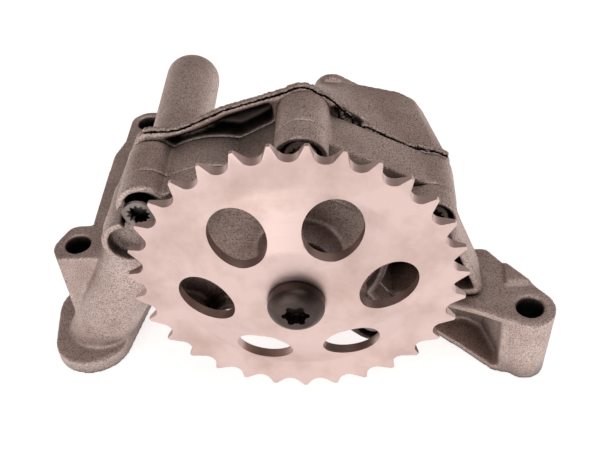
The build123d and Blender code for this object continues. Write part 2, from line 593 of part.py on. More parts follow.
# Rear housing: flange, suction chamber, relief tube, mounting rail, foot and arm
with BuildPart() as rear_housing:
    with BuildSketch(facing(SPLIT_Y)):
        add(FLANGE_OUTLINE)
    extrude(amount=-FLANGE_THICKNESS)
    with BuildSketch(facing(SPLIT_Y)):
        add(circle_hull((DRIVEN_WALL_PLACE, DRIVEN_WALL_RADIUS), ((0, 0), DRIVE_WALL_RADIUS)))
    extrude(amount=-BACK_WALL_THICKNESS)
    with BuildSketch(facing(SPLIT_Y)):
        for place in SCREW_PLACES:
            add_circle(place, SCREW_BACK_RADIUS)
    extrude(amount=-(SCREW_SEAT_Y + SCREW_LENGTH + SCREW_TAP_EXTRA + SCREW_BACK_WALL - SPLIT_Y))
    with BuildSketch(facing(SPLIT_Y)):
        Circle(BUSH_RADIUS + BEARING_WALL)
    extrude(amount=-BEARING_DEPTH)
    add(BROW)
    add(CHAMBER)
    with BuildSketch(facing(CHAMBER_BACK_Y)):
        add(circle_hull(*INLET_FLANGE))
    extrude(amount=-INLET_FLANGE_THICKNESS)
    with BuildSketch(facing(SPLIT_Y)):
        add_circle(RELIEF_PLACE, RELIEF_TUBE_RADIUS)
    extrude(amount=-RELIEF_TUBE_LENGTH)
    fillet(rear_housing.edges().group_by(Axis.Y)[-1], RELIEF_END_ROUNDING)
    slab(RAIL_PLAN, LEFT_BOSS_TOP_Z, RAIL_THICKNESS)
    slab(RAIL_WALL_PLAN, LEFT_BOSS_TOP_Z, RAIL_WALL_HEIGHT)
    slab(FRONT_BOSS_PLAN, LEFT_BOSS_TOP_Z, LEFT_BOSS_TOP_Z - BASE_Z)
    drafted_boss(REAR_LEFT_MOUNT, REAR_BOSS_RADIUS, LEFT_BOSS_TOP_Z, BOSS_DRAFT)
    drafted_boss(OUTLET_PLACE, OUTLET_PAD_RADIUS, BASE_Z + OUTLET_DEPTH + OUTLET_END_WALL, BOSS_DRAFT)
    slab(FOOT_PLAN, BASE_Z + FOOT_THICKNESS, FOOT_THICKNESS)
    with BuildSketch(facing(GALLERY_FRONT_Y)):
        add(circle_hull(*GALLERY_BLOCK))
    extrude(amount=-(GALLERY_BACK_Y - GALLERY_FRONT_Y))
    add(outlet_duct())
    slab(ARM_PLAN, RIGHT_BOSS_TOP_Z, ARM_PLATE)
    slab(ARM_BODY_PLAN, RIGHT_BOSS_TOP_Z, RIGHT_BOSS_TOP_Z - BASE_Z)
    slab(ARM_RECESS_PLAN, RIGHT_BOSS_TOP_Z - ARM_PLATE, ARM_INSIDE_HEIGHT, Mode.SUBTRACT)
    slab(ARM_TRIM_PLAN, BASE_Z + ARM_PLATE, ARM_PLATE, Mode.SUBTRACT)
    drafted_boss(RIGHT_MOUNT, MOUNT_BOSS_RADIUS, RIGHT_BOSS_TOP_Z, RIGHT_BOSS_DRAFT)
    slab(GUSSET_PLAN, RIGHT_BOSS_TOP_Z + GUSSET_HEIGHT, GUSSET_HEIGHT)
    add(POCKET, mode=Mode.SUBTRACT)
    for corners in SIDE_POCKETS:
        with BuildSketch(facing(SPLIT_Y)):
            Polygon(*corners, align=None)
            add(CASE_OUTLINE, mode=Mode.SUBTRACT)
        extrude(amount=-SIDE_POCKET_DEPTH, mode=Mode.SUBTRACT)
    for channel in (SUCTION_CHANNEL, DELIVERY_CHANNEL):
        with BuildSketch(facing(SPLIT_Y)):
            add(circle_hull(*channel))
        extrude(amount=-CHANNEL_DEPTH, mode=Mode.SUBTRACT)
    mount_bore(RIGHT_MOUNT, RIGHT_BOSS_TOP_Z)
    mount_bore(FRONT_LEFT_MOUNT, LEFT_BOSS_TOP_Z)
    mount_bore(REAR_LEFT_MOUNT, LEFT_BOSS_TOP_Z)
    cut_screw_holes(SCREW_PLACES, SCREW_RADIUS, SPLIT_Y, SCREW_TAP_DEPTH)
    cut_screw_holes(DOWEL_PLACES, DOWEL_RADIUS, SPLIT_Y, DOWEL_REAR_DEPTH)
    cut_hole((0, 0), BUSH_RADIUS, SPLIT_Y, BEARING_BORE_DEPTH)
    cut_hole(DRIVEN_PLACE, IDLER_RADIUS, SPLIT_Y, IDLER_SEAT_DEPTH)
    cut_hole(RELIEF_BORE_PLACE, RELIEF_BORE_RADIUS, SPLIT_Y, RELIEF_BORE_DEPTH)
    cut_hole(INLET_PLACE, INLET_RADIUS, SPLIT_Y + INLET_FRONT_WALL, INLET_BACK_Y - SPLIT_Y - INLET_FRONT_WALL)
    cut_screw_holes(INLET_SCREWS, INLET_SCREW_RADIUS, INLET_BACK_Y - INLET_SCREW_DEPTH, INLET_SCREW_DEPTH)
    with BuildSketch(Plane.XY.offset(BASE_Z)) as outlet:
        add_circle(OUTLET_PLACE, OUTLET_RADIUS)
    extrude(outlet.sketch, amount=OUTLET_DEPTH, mode=Mode.SUBTRACT)
    way = Vector(*CROSS_BORE_END) - Vector(*CROSS_BORE_START)
    bore_along(CROSS_BORE_START, way, CROSS_BORE_RADIUS, way.length)
    with BuildSketch(Plane.XY.offset(BASE_Z)) as seal_groove:
        add_circle(OUTLET_PLACE, OUTLET_RADIUS + SEAL_GAP + SEAL_SECTION)
        add_circle(OUTLET_PLACE, OUTLET_RADIUS + SEAL_GAP, Mode.SUBTRACT)
    extrude(seal_groove.sketch, amount=SEAL_SECTION, mode=Mode.SUBTRACT)
    with BuildSketch(facing(INLET_BACK_Y)) as inlet_groove:
        add_circle(INLET_PLACE, INLET_RADIUS + SEAL_GAP + SEAL_SECTION)
        add_circle(INLET_PLACE, INLET_RADIUS + SEAL_GAP, Mode.SUBTRACT)
    extrude(inlet_groove.sketch, amount=SEAL_SECTION, mode=Mode.SUBTRACT)
save(rear_housing, "rear_housing")


def bar(radius, front_y, back_y, centre=(0, 0), mode=Mode.ADD):
    """Round bar along the shaft's direction between two depths."""
    with BuildSketch(facing(front_y)) as section:
        add_circle(centre, radius)
    extrude(section.sketch, amount=front_y - back_y, mode=mode)


def bush(centre, inner, outer, front_y, back_y):
    """Plain bearing bush with a chamfered mouth at both ends."""
    with BuildPart() as sleeve:
        bar(outer, front_y, back_y, centre)
        bar(inner, front_y, back_y, centre, Mode.SUBTRACT)
        mouths = sleeve.edges().filter_by(GeomType.CIRCLE)
        chamfer(mouths.filter_by(lambda edge: edge.radius < outer), BUSH_CHAMFER)
    return sleeve


def flatted_circle(radius, half_width):
    """Circle with two flats, at the left and the right."""
    with BuildSketch(mode=Mode.PRIVATE) as section:
        Circle(radius)
        Rectangle(2 * half_width, 2 * radius, mode=Mode.INTERSECT)
    return section.sketch


def key_box(width, length, low_z, high_z, mode=Mode.ADD):
    """Block above the shaft's axis, in the middle of the drive gear's width."""
    with BuildSketch(Plane.XY.offset(low_z)) as plan:
        with Locations((0, KEY_MIDDLE_Y)):
            Rectangle(width, length)
    extrude(plan.sketch, amount=high_z - low_z, mode=mode)


def gullet():
    """Gap between two sprocket teeth: the roller's seat, opening to the tips."""
    half_width = GULLET_HALF_WIDTH
    return circle_hull(
        ((PITCH_RADIUS, 0.0), SEAT_RADIUS),
        ((TIP_RADIUS + GULLET_TIP_ROUNDING, half_width), GULLET_TIP_ROUNDING),
        ((TIP_RADIUS + GULLET_TIP_ROUNDING, -half_width), GULLET_TIP_ROUNDING),
    )


def gear_flank(radius):
    """Half of the tooth's angle, in radians, where its involute crosses a radius."""
    at_pitch = pi / (2 * GEAR_TEETH) - GEAR_BACKLASH / (4 * GEAR_PITCH_RADIUS)
    involute_at_pitch = tan(radians(PRESSURE_ANGLE)) - radians(PRESSURE_ANGLE)
    reach = sqrt(max(radius**2 - GEAR_BASE_RADIUS**2, 0.0)) / GEAR_BASE_RADIUS
    return at_pitch + involute_at_pitch - (reach - atan(reach))


def gear_tooth():
    """One tooth about the +X direction, from inside the root circle to the tip."""
    inside = GEAR_ROOT_RADIUS - GEAR_ROOT_OVERLAP
    middle = (GEAR_BASE_RADIUS + GEAR_TIP_RADIUS) / 2
    low, mid, high = (gear_flank(r) for r in (GEAR_BASE_RADIUS, middle, GEAR_TIP_RADIUS))
    tip = polar(GEAR_TIP_RADIUS, high)
    with BuildSketch(mode=Mode.PRIVATE) as tooth:
        with BuildLine():
            Line(polar(inside, -low), polar(GEAR_BASE_RADIUS, -low))
            ThreePointArc(polar(GEAR_BASE_RADIUS, -low), polar(middle, -mid), (tip[0], -tip[1]))
            ThreePointArc((tip[0], -tip[1]), (GEAR_TIP_RADIUS, 0), tip)
            ThreePointArc(tip, polar(middle, mid), polar(GEAR_BASE_RADIUS, low))
            Line(polar(GEAR_BASE_RADIUS, low), polar(inside, low))
            Line(polar(inside, low), polar(inside, -low))
        make_face()
    return tooth.sketch


def pump_gear(centre, bore, first_tooth):
    """Spur gear between the two castings, its first tooth at an angle in degrees."""
    tooth = gear_tooth()
    with BuildPart() as gear:
        with BuildSketch(facing(GEAR_FRONT_Y)) as section:
            with Locations(centre):
                Circle(GEAR_ROOT_RADIUS)
                with PolarLocations(0, GEAR_TEETH, start_angle=first_tooth):
                    add(tooth)
            add_circle(centre, bore, Mode.SUBTRACT)
        extrude(section.sketch, amount=GEAR_FRONT_Y - GEAR_BACK_Y)
    return gear


# Sprocket: a dished plate with rounded gullets, six web holes and a hub hole with two flats
with BuildPart() as drive_sprocket:
    with BuildSketch(Plane.XY) as section:
        Polygon(*SPROCKET_SECTION, align=None)
        bends = section.vertices().filter_by(
            lambda v: min(abs(v.X - DISH_OUTER_RADIUS), abs(v.X - DISH_HUB_RADIUS)) < FIT_GAP
        )
        fillet(bends, BEND_RADIUS)
    revolve(axis=Axis.Y)
    with BuildSketch(facing(-TIP_RADIUS)) as gullets:
        with PolarLocations(0, SPROCKET_TEETH, start_angle=SPROCKET_PHASE):
            add(gullet())
    extrude(gullets.sketch, amount=-2 * TIP_RADIUS, mode=Mode.SUBTRACT)
    with BuildSketch(facing(-TIP_RADIUS)) as web_holes:
        with PolarLocations(WEB_HOLE_CIRCLE, WEB_HOLES, start_angle=WEB_HOLE_PHASE):
            Circle(WEB_HOLE_RADIUS)
        add(flatted_circle(SHAFT_NOSE_RADIUS + FIT_GAP, SHAFT_NOSE_FLAT + FIT_GAP))
    extrude(web_holes.sketch, amount=-2 * TIP_RADIUS, mode=Mode.SUBTRACT)
save(drive_sprocket, "drive_sprocket")

# Bolt with a button head and a six-lobed drive, holding the sprocket on the shaft's nose
with BuildPart() as sprocket_bolt:
    with BuildSketch(Plane.XY):
        with BuildLine():
            Polyline(*BOLT_SECTION)
            ThreePointArc(BOLT_SECTION[-1], BOLT_DOME_MIDDLE, BOLT_SECTION[0])
        make_face()
    revolve(axis=Axis.Y)
    with BuildSketch(facing(HUB_FRONT_Y - BOLT_HEAD_HEIGHT)) as drive:
        Circle(TORX_CORE_RADIUS)
        with PolarLocations(TORX_LOBE_CIRCLE, TORX_LOBES):
            Circle(TORX_LOBE_RADIUS)
    extrude(drive.sketch, amount=-TORX_DEPTH, mode=Mode.SUBTRACT)
save(sprocket_bolt, "sprocket_bolt")

# Drive shaft: flatted nose, collar, journal, key seat and the bolt's threaded hole
with BuildPart() as drive_shaft:
    with BuildSketch(facing(HUB_FRONT_Y + SHAFT_END_GAP)) as nose:
        add(flatted_circle(SHAFT_NOSE_RADIUS, SHAFT_NOSE_FLAT))
    extrude(nose.sketch, amount=-(HUB_BACK_Y - HUB_FRONT_Y - SHAFT_END_GAP))
    bar(SHAFT_COLLAR_RADIUS, HUB_BACK_Y, COLLAR_BACK_Y)
    bar(SHAFT_RADIUS, COLLAR_BACK_Y, SHAFT_END_Y)
    chamfer(drive_shaft.edges().group_by(Axis.Y)[-1], END_CHAMFER)
    bar(BOLT_SHANK_RADIUS, HUB_FRONT_Y, HUB_FRONT_Y + BOLT_HOLE_DEPTH, mode=Mode.SUBTRACT)
    key_box(
        KEY_WIDTH + 2 * FIT_GAP, KEY_LENGTH + 2 * FIT_GAP,
        SHAFT_RADIUS - KEY_HEIGHT / 2 - FIT_GAP, SHAFT_RADIUS + KEY_HEIGHT, Mode.SUBTRACT,
    )
save(drive_shaft, "drive_shaft")

# Key between the shaft and the drive gear
with BuildPart() as drive_gear_key:
    key_box(KEY_WIDTH, KEY_LENGTH, SHAFT_RADIUS - KEY_HEIGHT / 2, SHAFT_RADIUS + KEY_HEIGHT / 2)
save(drive_gear_key, "drive_gear_key")

# Drive gear, with a keyway through it, and driven gear, with its gap towards the drive gear
drive_gear = pump_gear((0, 0), SHAFT_RADIUS + FIT_GAP, DRIVEN_GEAR_DIRECTION)
with drive_gear:
    key_box(
        KEY_WIDTH + 2 * FIT_GAP, GEAR_WIDTH,
        0, SHAFT_RADIUS + KEY_HEIGHT / 2 + FIT_GAP, Mode.SUBTRACT,
    )
save(drive_gear, "drive_gear")
driven_gear = pump_gear(
    DRIVEN_PLACE, IDLER_BUSH_RADIUS, DRIVEN_GEAR_DIRECTION + 180 + 180 / GEAR_TEETH
)
save(driven_gear, "driven_gear")

# Bearing bushes
save(
    bush((0, 0), SHAFT_RADIUS + SHAFT_CLEARANCE, BUSH_RADIUS, HUB_BOSS_FRONT_Y, PARTING_Y),
    "front_shaft_bush",
)
save(
    bush((0, 0), SHAFT_RADIUS + SHAFT_CLEARANCE, BUSH_RADIUS, SPLIT_Y, SPLIT_Y + REAR_BUSH_LENGTH),
    "rear_shaft_bush",
)
save(
    bush(DRIVEN_PLACE, IDLER_RADIUS + SHAFT_CLEARANCE, IDLER_BUSH_RADIUS, GEAR_FRONT_Y, GEAR_BACK_Y),
    "driven_gear_bush",
)

# Idler shaft that the driven gear turns on
with BuildPart() as idler_shaft:
    bar(IDLER_RADIUS, PARTING_Y - IDLER_COVER_DEPTH, SPLIT_Y + IDLER_SEAT_DEPTH, DRIVEN_PLACE)
    ends = idler_shaft.edges().filter_by(GeomType.CIRCLE)
    chamfer(ends, END_CHAMFER)
save(idler_shaft, "idler_shaft")

# Five equal socket screws through the castings
with BuildPart() as cover_screws:
    for place in SCREW_PLACES:
        bar(SCREW_HEAD_RADIUS, SCREW_SEAT_Y - SCREW_HEAD_HEIGHT, SCREW_SEAT_Y, place)
        bar(SCREW_RADIUS, SCREW_SEAT_Y, SCREW_SEAT_Y + SCREW_LENGTH, place)
        with BuildSketch(facing(SCREW_SEAT_Y - SCREW_HEAD_HEIGHT)) as socket:
            with Locations(place):
                for turn in SCREW_SOCKET_TURNS:
                    Rectangle(SCREW_SOCKET_SIDE, SCREW_SOCKET_SIDE, rotation=turn)
        extrude(socket.sketch, amount=-SCREW_SOCKET_DEPTH, mode=Mode.SUBTRACT)
    tips = cover_screws.edges().group_by(Axis.Y)[-1]
    chamfer(tips, END_CHAMFER)
save(cover_screws, "cover_screws")

# Two dowels that line the castings up
with BuildPart() as housing_dowels:
    for place in DOWEL_PLACES:
        bar(DOWEL_RADIUS, PARTING_Y - DOWEL_COVER_DEPTH, SPLIT_Y + DOWEL_REAR_DEPTH, place)
    chamfer(housing_dowels.edges().filter_by(GeomType.CIRCLE), BUSH_CHAMFER)
save(housing_dowels, "housing_dowels")

# Relief valve: a seat ring, a cup piston, its spring and the spring's seat
with BuildPart() as relief_valve_seat:
    bar(RELIEF_BORE_RADIUS, RELIEF_SEAT_FRONT_Y, RELIEF_SEAT_BACK_Y, RELIEF_BORE_PLACE)
    bar(
        RELIEF_SEAT_HOLE_RADIUS, RELIEF_SEAT_FRONT_Y, RELIEF_SEAT_BACK_Y, RELIEF_BORE_PLACE,
        Mode.SUBTRACT,
    )
save(relief_valve_seat, "relief_valve_seat")

with BuildPart() as relief_piston:
    outer = RELIEF_BORE_RADIUS - RELIEF_CLEARANCE
    back_y = PISTON_FRONT_Y + RELIEF_PISTON_LENGTH
    bar(outer, PISTON_FRONT_Y, back_y, RELIEF_BORE_PLACE)
    bar(
        outer - RELIEF_PISTON_WALL, PISTON_FRONT_Y + RELIEF_PISTON_FACE, back_y, RELIEF_BORE_PLACE,
        Mode.SUBTRACT,
    )
    chamfer(relief_piston.edges().group_by(Axis.Y)[0], BUSH_CHAMFER)
save(relief_piston, "relief_piston")

with BuildPart() as relief_spring:
    free_length = SPRING_BACK_Y - SPRING_FRONT_Y
    with BuildLine():
        coil = Helix(
            free_length / SPRING_TURNS, free_length, SPRING_COIL_RADIUS,
            center=(RELIEF_BORE_PLACE[0], SPRING_FRONT_Y, RELIEF_BORE_PLACE[1]), direction=(0, 1, 0),
        )
    with BuildSketch(Plane(origin=coil @ 0, z_dir=coil % 0)):
        Circle(SPRING_WIRE_RADIUS)
    sweep(path=coil, is_frenet=True)
save(relief_spring, "relief_spring")

with BuildPart() as relief_spring_seat:
    bar(
        RELIEF_BORE_RADIUS - RELIEF_CLEARANCE, SPRING_SEAT_FRONT_Y, RELIEF_BORE_END_Y, RELIEF_BORE_PLACE
    )
    chamfer(relief_spring_seat.edges().filter_by(GeomType.CIRCLE), SEAT_DISC_CHAMFER)
save(relief_spring_seat, "relief_spring_seat")


def face_seal(plane, centre, inner, depth):
    """Ring of square section lying in its groove, a little below the face."""
    with BuildPart() as ring:
        with BuildSketch(plane) as section:
            add_circle(centre, inner + SEAL_SECTION - FIT_GAP)
            add_circle(centre, inner + FIT_GAP, Mode.SUBTRACT)
        extrude(section.sketch, amount=depth)
    return ring


# Seals on the outlet's and the inlet's faces
save(
    face_seal(
        Plane.XY.offset(BASE_Z + SEAL_SINK), OUTLET_PLACE, OUTLET_RADIUS + SEAL_GAP,
        SEAL_SECTION - SEAL_SINK,
    ),
    "outlet_seal",
)
save(
    face_seal(
        facing(INLET_BACK_Y - SEAL_SINK), INLET_PLACE, INLET_RADIUS + SEAL_GAP,
        SEAL_SECTION - SEAL_SINK,
    ),
    "inlet_seal",
)
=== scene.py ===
"""The looks of a chain driven engine oil pump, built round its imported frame.

The castings are softened copies of their solids, and the sprocket and its bolt are copies with
broken edges. Geometry Nodes grow the cover screws, the relief spring and the torn flash line.
Everything is in metres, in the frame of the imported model: the sprocket's centre is the origin,
+Y runs back into the pump and +Z is up.
"""

from __future__ import annotations

import json
import logging
import math
from dataclasses import dataclass
from enum import Enum
from typing import Any, Mapping

import bmesh
import bpy
from mathutils import Matrix, Vector

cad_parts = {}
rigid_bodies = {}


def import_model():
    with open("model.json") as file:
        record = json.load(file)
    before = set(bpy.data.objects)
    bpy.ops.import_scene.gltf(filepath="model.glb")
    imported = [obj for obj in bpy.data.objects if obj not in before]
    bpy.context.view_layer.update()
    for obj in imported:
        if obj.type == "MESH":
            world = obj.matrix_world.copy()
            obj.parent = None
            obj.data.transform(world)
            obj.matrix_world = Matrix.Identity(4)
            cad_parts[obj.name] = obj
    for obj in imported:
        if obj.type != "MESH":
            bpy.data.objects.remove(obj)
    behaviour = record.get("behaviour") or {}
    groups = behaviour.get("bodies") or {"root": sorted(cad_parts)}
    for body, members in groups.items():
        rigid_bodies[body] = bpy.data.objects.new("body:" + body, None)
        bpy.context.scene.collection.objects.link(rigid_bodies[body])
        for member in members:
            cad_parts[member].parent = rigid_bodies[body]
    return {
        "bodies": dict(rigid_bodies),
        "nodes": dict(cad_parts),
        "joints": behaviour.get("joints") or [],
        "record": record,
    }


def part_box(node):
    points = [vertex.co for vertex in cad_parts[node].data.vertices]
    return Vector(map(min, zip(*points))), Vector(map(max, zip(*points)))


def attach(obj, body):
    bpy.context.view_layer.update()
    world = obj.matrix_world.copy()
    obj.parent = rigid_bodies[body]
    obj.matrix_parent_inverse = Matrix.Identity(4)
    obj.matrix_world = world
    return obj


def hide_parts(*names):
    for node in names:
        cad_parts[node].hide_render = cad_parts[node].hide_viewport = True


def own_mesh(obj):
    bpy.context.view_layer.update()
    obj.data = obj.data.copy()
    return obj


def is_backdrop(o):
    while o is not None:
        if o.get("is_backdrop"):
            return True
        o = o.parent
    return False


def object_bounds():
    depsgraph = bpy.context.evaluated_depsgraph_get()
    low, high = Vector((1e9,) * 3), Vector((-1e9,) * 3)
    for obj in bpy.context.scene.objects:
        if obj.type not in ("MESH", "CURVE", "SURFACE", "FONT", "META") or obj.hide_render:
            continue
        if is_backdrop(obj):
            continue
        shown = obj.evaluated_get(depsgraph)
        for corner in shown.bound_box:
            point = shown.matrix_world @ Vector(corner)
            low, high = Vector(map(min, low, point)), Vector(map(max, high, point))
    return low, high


LOG = logging.getLogger("oil_pump")
MM = 0.001
# The table top stands this many mm under the lowest face, so the two don't share a plane.
FLOOR_DROP = 0.02
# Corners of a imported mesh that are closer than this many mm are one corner.
WELD_DISTANCE = 0.002
FULL_SPAN = (0.0, 1.0)
# Rays that look for shelter at each point; the picture's own samples smooth what they miss.
SHELTER_RAYS = 6


class Slot(Enum):
    """The record's material slots, by the finish that each stands for."""

    CASTING = "casting"
    SPROCKET = "sprocket_steel"
    BOLT = "bolt_steel"
    MACHINED = "machined_steel"
    GEAR = "gear_steel"
    SPRING = "spring_steel"
    BRONZE = "bronze"
    RUBBER = "seal_rubber"


class Body(Enum):
    """The moving bodies that the scene's own pieces ride on."""

    PUMP = "pump_body"
    ROTOR = "drive_rotor"


def linear(colour: str) -> tuple[float, float, float, float]:
    """Turns an sRGB hex colour into the linear values that a shader socket takes.

    Args:
        colour: Six hex digits, such as "B8A59F".

    Returns:
        Red, green, blue and alpha, each from 0 to 1.
    """
    parts = [int(colour[i : i + 2], 16) / 255 for i in (0, 2, 4)]
    red, green, blue = (p / 12.92 if p <= 0.04045 else ((p + 0.055) / 1.055) ** 2.4 for p in parts)
    return (red, green, blue, 1.0)


def add_node(
    tree: bpy.types.NodeTree,
    kind: str,
    settings: Mapping[str, Any] | None = None,
    values: Mapping[Any, Any] | None = None,
    links: Mapping[Any, bpy.types.NodeSocket] | None = None,
) -> bpy.types.Node:
    """Adds one node to a tree, with its settings, its sockets' values and its incoming links.

    Args:
        tree: The tree that gets the node.
        kind: Blender's own identifier of the node.
        settings: Properties of the node, set first because some of them change its sockets.
        values: Fixed values, by the socket's name or number.
        links: Sockets of other nodes, by the name or number of the socket that they feed.

    Returns:
        The new node.
    """
    node = tree.nodes.new(kind)
    for name, value in (settings or {}).items():
        setattr(node, name, value)
    for socket, value in (values or {}).items():
        node.inputs[socket].default_value = value
    for socket, source in (links or {}).items():
        tree.links.new(source, node.inputs[socket])
    return node


def add_object(name: str, data: bpy.types.ID) -> bpy.types.Object:
    """Makes an object and links it to the scene.

    Args:
        name: The object's name.
        data: Its mesh, camera or lamp.

    Returns:
        The new object, at the origin.
    """
    made = bpy.data.objects.new(name, data)
    bpy.context.scene.collection.objects.link(made)
    return made


class Shading:
    """A new material's node tree, with the few kinds of node that the finishes are made of."""

    def __init__(self, name: str) -> None:
        """Starts the material.

        Args:
            name: The material's name.
        """
        self.material = bpy.data.materials.new(name)
        self.material.use_nodes = True
        self.tree = self.material.node_tree
        self.shader = self.tree.nodes["Principled BSDF"]
        self.place = add_node(self.tree, "ShaderNodeTexCoord").outputs["Object"]

    def noise(
        self,
        size: float,
        detail: float,
        roughness: float = 0.5,
        place: bpy.types.NodeSocket | None = None,
    ) -> bpy.types.NodeSocket:
        """Adds a noise.

        Args:
            size: The size of its blobs in mm.
            detail: How many finer layers it has.
            roughness: How strong the finer layers are.
            place: The coordinates, if they aren't the object's own.

        Returns:
            The noise, from 0 to 1.
        """
        values = {"Scale": 1 / (size * MM), "Detail": detail, "Roughness": roughness}
        links = {"Vector": place or self.place}
        return add_node(self.tree, "ShaderNodeTexNoise", values=values, links=links).outputs["Fac"]

    def spread(
        self,
        value: bpy.types.NodeSocket,
        taken: tuple[float, float],
        given: tuple[float, float] = FULL_SPAN,
    ) -> bpy.types.NodeSocket:
        """Stretches a span of values to another span, and holds what lies beyond at its ends.

        Args:
            value: The values.
            taken: The span that is stretched.
            given: The span that it becomes.

        Returns:
            The stretched values.
        """
        names = ("From Min", "From Max", "To Min", "To Max")
        values = dict(zip(names, (*taken, *given)))
        links = {"Value": value}
        return add_node(self.tree, "ShaderNodeMapRange", values=values, links=links).outputs[0]

    def mix(
        self, share: bpy.types.NodeSocket, first: bpy.types.NodeSocket | str, second: str
    ) -> bpy.types.NodeSocket:
        """Mixes two colours.

        Args:
            share: How much of the second colour shows.
            first: The colour at 0, a socket or an sRGB hex colour.
            second: The colour at 1, an sRGB hex colour.

        Returns:
            The mixed colour.
        """
        values: dict[int, Any] = {7: linear(second)}
        links = {0: share}
        if isinstance(first, str):
            values[6] = linear(first)
        else:
            links[6] = first
        settings = {"data_type": "RGBA"}
        return add_node(self.tree, "ShaderNodeMix", settings, values, links).outputs[2]

    def paint_shelter_shade(
        self, unshaded: bpy.types.NodeSocket, shade_colour: str, reach: float, span: tuple[float, float]
    ) -> bpy.types.NodeSocket:
        """Paints shade: darkens a colour in places that other surfaces shelter.

        Args:
            unshaded: The colour before the painted shade.
            shade_colour: The darkest colour of the painted shade.
            reach: How far off, in mm, a surface still shelters.
            span: The openness at which the painted shade starts, and the one at which it is full.

        Returns:
            The colour with its painted shade.
        """
        openness = add_node(
            self.tree,
            "ShaderNodeAmbientOcclusion",
            settings={"samples": SHELTER_RAYS},
            values={"Distance": reach * MM},
        )
        # Painted shade: the colour turns towards near black where nearby surfaces shelter it.
        return self.mix(self.spread(openness.outputs["AO"], span), unshaded, shade_colour)

    def metal(
        self,
        colour: bpy.types.NodeSocket,
        roughness: bpy.types.NodeSocket,
        height: bpy.types.NodeSocket,
        strength: float,
        relief: float,
    ) -> bpy.types.Material:
        """Ends the tree as a bare metal.

        Args:
            colour: The metal's colour.
            roughness: Its roughness.
            height: The heights of its small relief, from 0 to 1.
            strength: How strongly the relief turns the light, from 0 to 1.
            relief: The relief's depth in mm.

        Returns:
            The finished material.
        """
        bump = add_node(
            self.tree,
            "ShaderNodeBump",
            values={"Strength": strength, "Distance": relief * MM},
            links={"Height": height},
        )
        self.tree.links.new(colour, self.shader.inputs["Base Color"])
        self.tree.links.new(roughness, self.shader.inputs["Roughness"])
        self.tree.links.new(bump.outputs["Normal"], self.shader.inputs["Normal"])
        self.shader.inputs["Metallic"].default_value = 1.0
        return self.material


@dataclass(frozen=True)
class DieCastAluminium:
    """Die-cast aluminium, shot blasted; sizes in mm.

    It gives the eye a dull, pale metal with a fine dark grain, soft clouds, and painted shade
    that turns nearly black wherever the casting closes in on itself. The grain is drawn about
    three times coarser than real blasting, so that it still shows from where the camera stands.
    """

    name: str
    light: str = "E2D0C9"
    dark: str = "C6B1A9"
    speck: str = "8B7971"
    shade_colour: str = "120D0B"
    grain: float = 0.42
    patch: float = 16.0
    cloud_span: tuple[float, float] = (0.38, 0.66)
    speck_span: tuple[float, float] = (0.46, 0.64)
    speck_share: float = 0.85
    roughness: tuple[float, float] = (0.46, 0.66)
    relief: float = 0.12
    shelter: float = 18.0
    shelter_span: tuple[float, float] = (0.68, 0.3)

    def build(self) -> bpy.types.Material:
        """Makes the material: blasted grain, cloudy patches, dark specks and painted shade where
        sheltered.

        Returns:
            The finished material.
        """
        shading = Shading(self.name)
        grain = shading.noise(self.grain, detail=3.0, roughness=0.6)
        patches = shading.noise(self.patch, detail=5.0, roughness=0.55)
        clouds = shading.spread(patches, self.cloud_span)
        specks = shading.spread(grain, self.speck_span, (0.0, self.speck_share))
        spotted = shading.mix(specks, shading.mix(clouds, self.light, self.dark), self.speck)
        # Painted shade: darkens towards near black where the casting closes in on itself.
        recess_shaded = shading.paint_shelter_shade(spotted, self.shade_colour, self.shelter, self.shelter_span)
        dullness = shading.spread(grain, FULL_SPAN, self.roughness)
        return shading.metal(recess_shaded, dullness, grain, 1.0, self.relief)


@dataclass(frozen=True)
class WorkedSteel:
    """Steel or bronze that was stamped, turned or ground; sizes in mm.

    It gives the eye a smooth metal with faint clouds, a few straight scratches and a painted
    shade line where two parts meet. The scratches are drawn about five times wider than real ones.
    """

    name: str
    light: str
    dark: str
    roughness: float
    smoother: float = 0.05
    rougher: float = 0.08
    grain: float = 0.35
    patch: float = 18.0
    stain_span: tuple[float, float] = (0.42, 0.66)
    scratch_width: float = 0.5
    scratch_depth: float = 0.05
    scratch_strength: float = 0.4
    scratch_turn: tuple[float, float, float] = (0.0, 0.6, 0.0)
    scratch_stretch: tuple[float, float, float] = (0.02, 1.0, 1.0)
    scratch_span: tuple[float, float] = (0.62, 0.7)
    shade_colour: str = "140F0E"
    shelter: float = 1.5
    shelter_span: tuple[float, float] = (0.75, 0.35)

    def build(self) -> bpy.types.Material:
        """Makes the material: faint clouds, a fine grain, scratches and painted shade where
        sheltered.

        Returns:
            The finished material.
        """
        shading = Shading(self.name)
        patches = shading.noise(self.patch, detail=6.0, roughness=0.6)
        stains = shading.spread(patches, self.stain_span)
        grain = shading.noise(self.grain, detail=2.0)
        turned = add_node(
            shading.tree,
            "ShaderNodeMapping",
            values={"Rotation": self.scratch_turn, "Scale": self.scratch_stretch},
            links={"Vector": shading.place},
        )
        marks = shading.noise(self.scratch_width, detail=2.0, place=turned.outputs["Vector"])
        scratches = shading.spread(marks, self.scratch_span)
        tone = shading.mix(stains, self.light, self.dark)
        # Painted shade: darkens where another part or a recess shelters the surface.
        recess_shaded = shading.paint_shelter_shade(tone, self.shade_colour, self.shelter, self.shelter_span)
        span = (self.roughness - self.smoother, self.roughness + self.rougher)
        dullness = shading.spread(grain, FULL_SPAN, span)
        return shading.metal(recess_shaded, dullness, scratches, self.scratch_strength, self.scratch_depth)


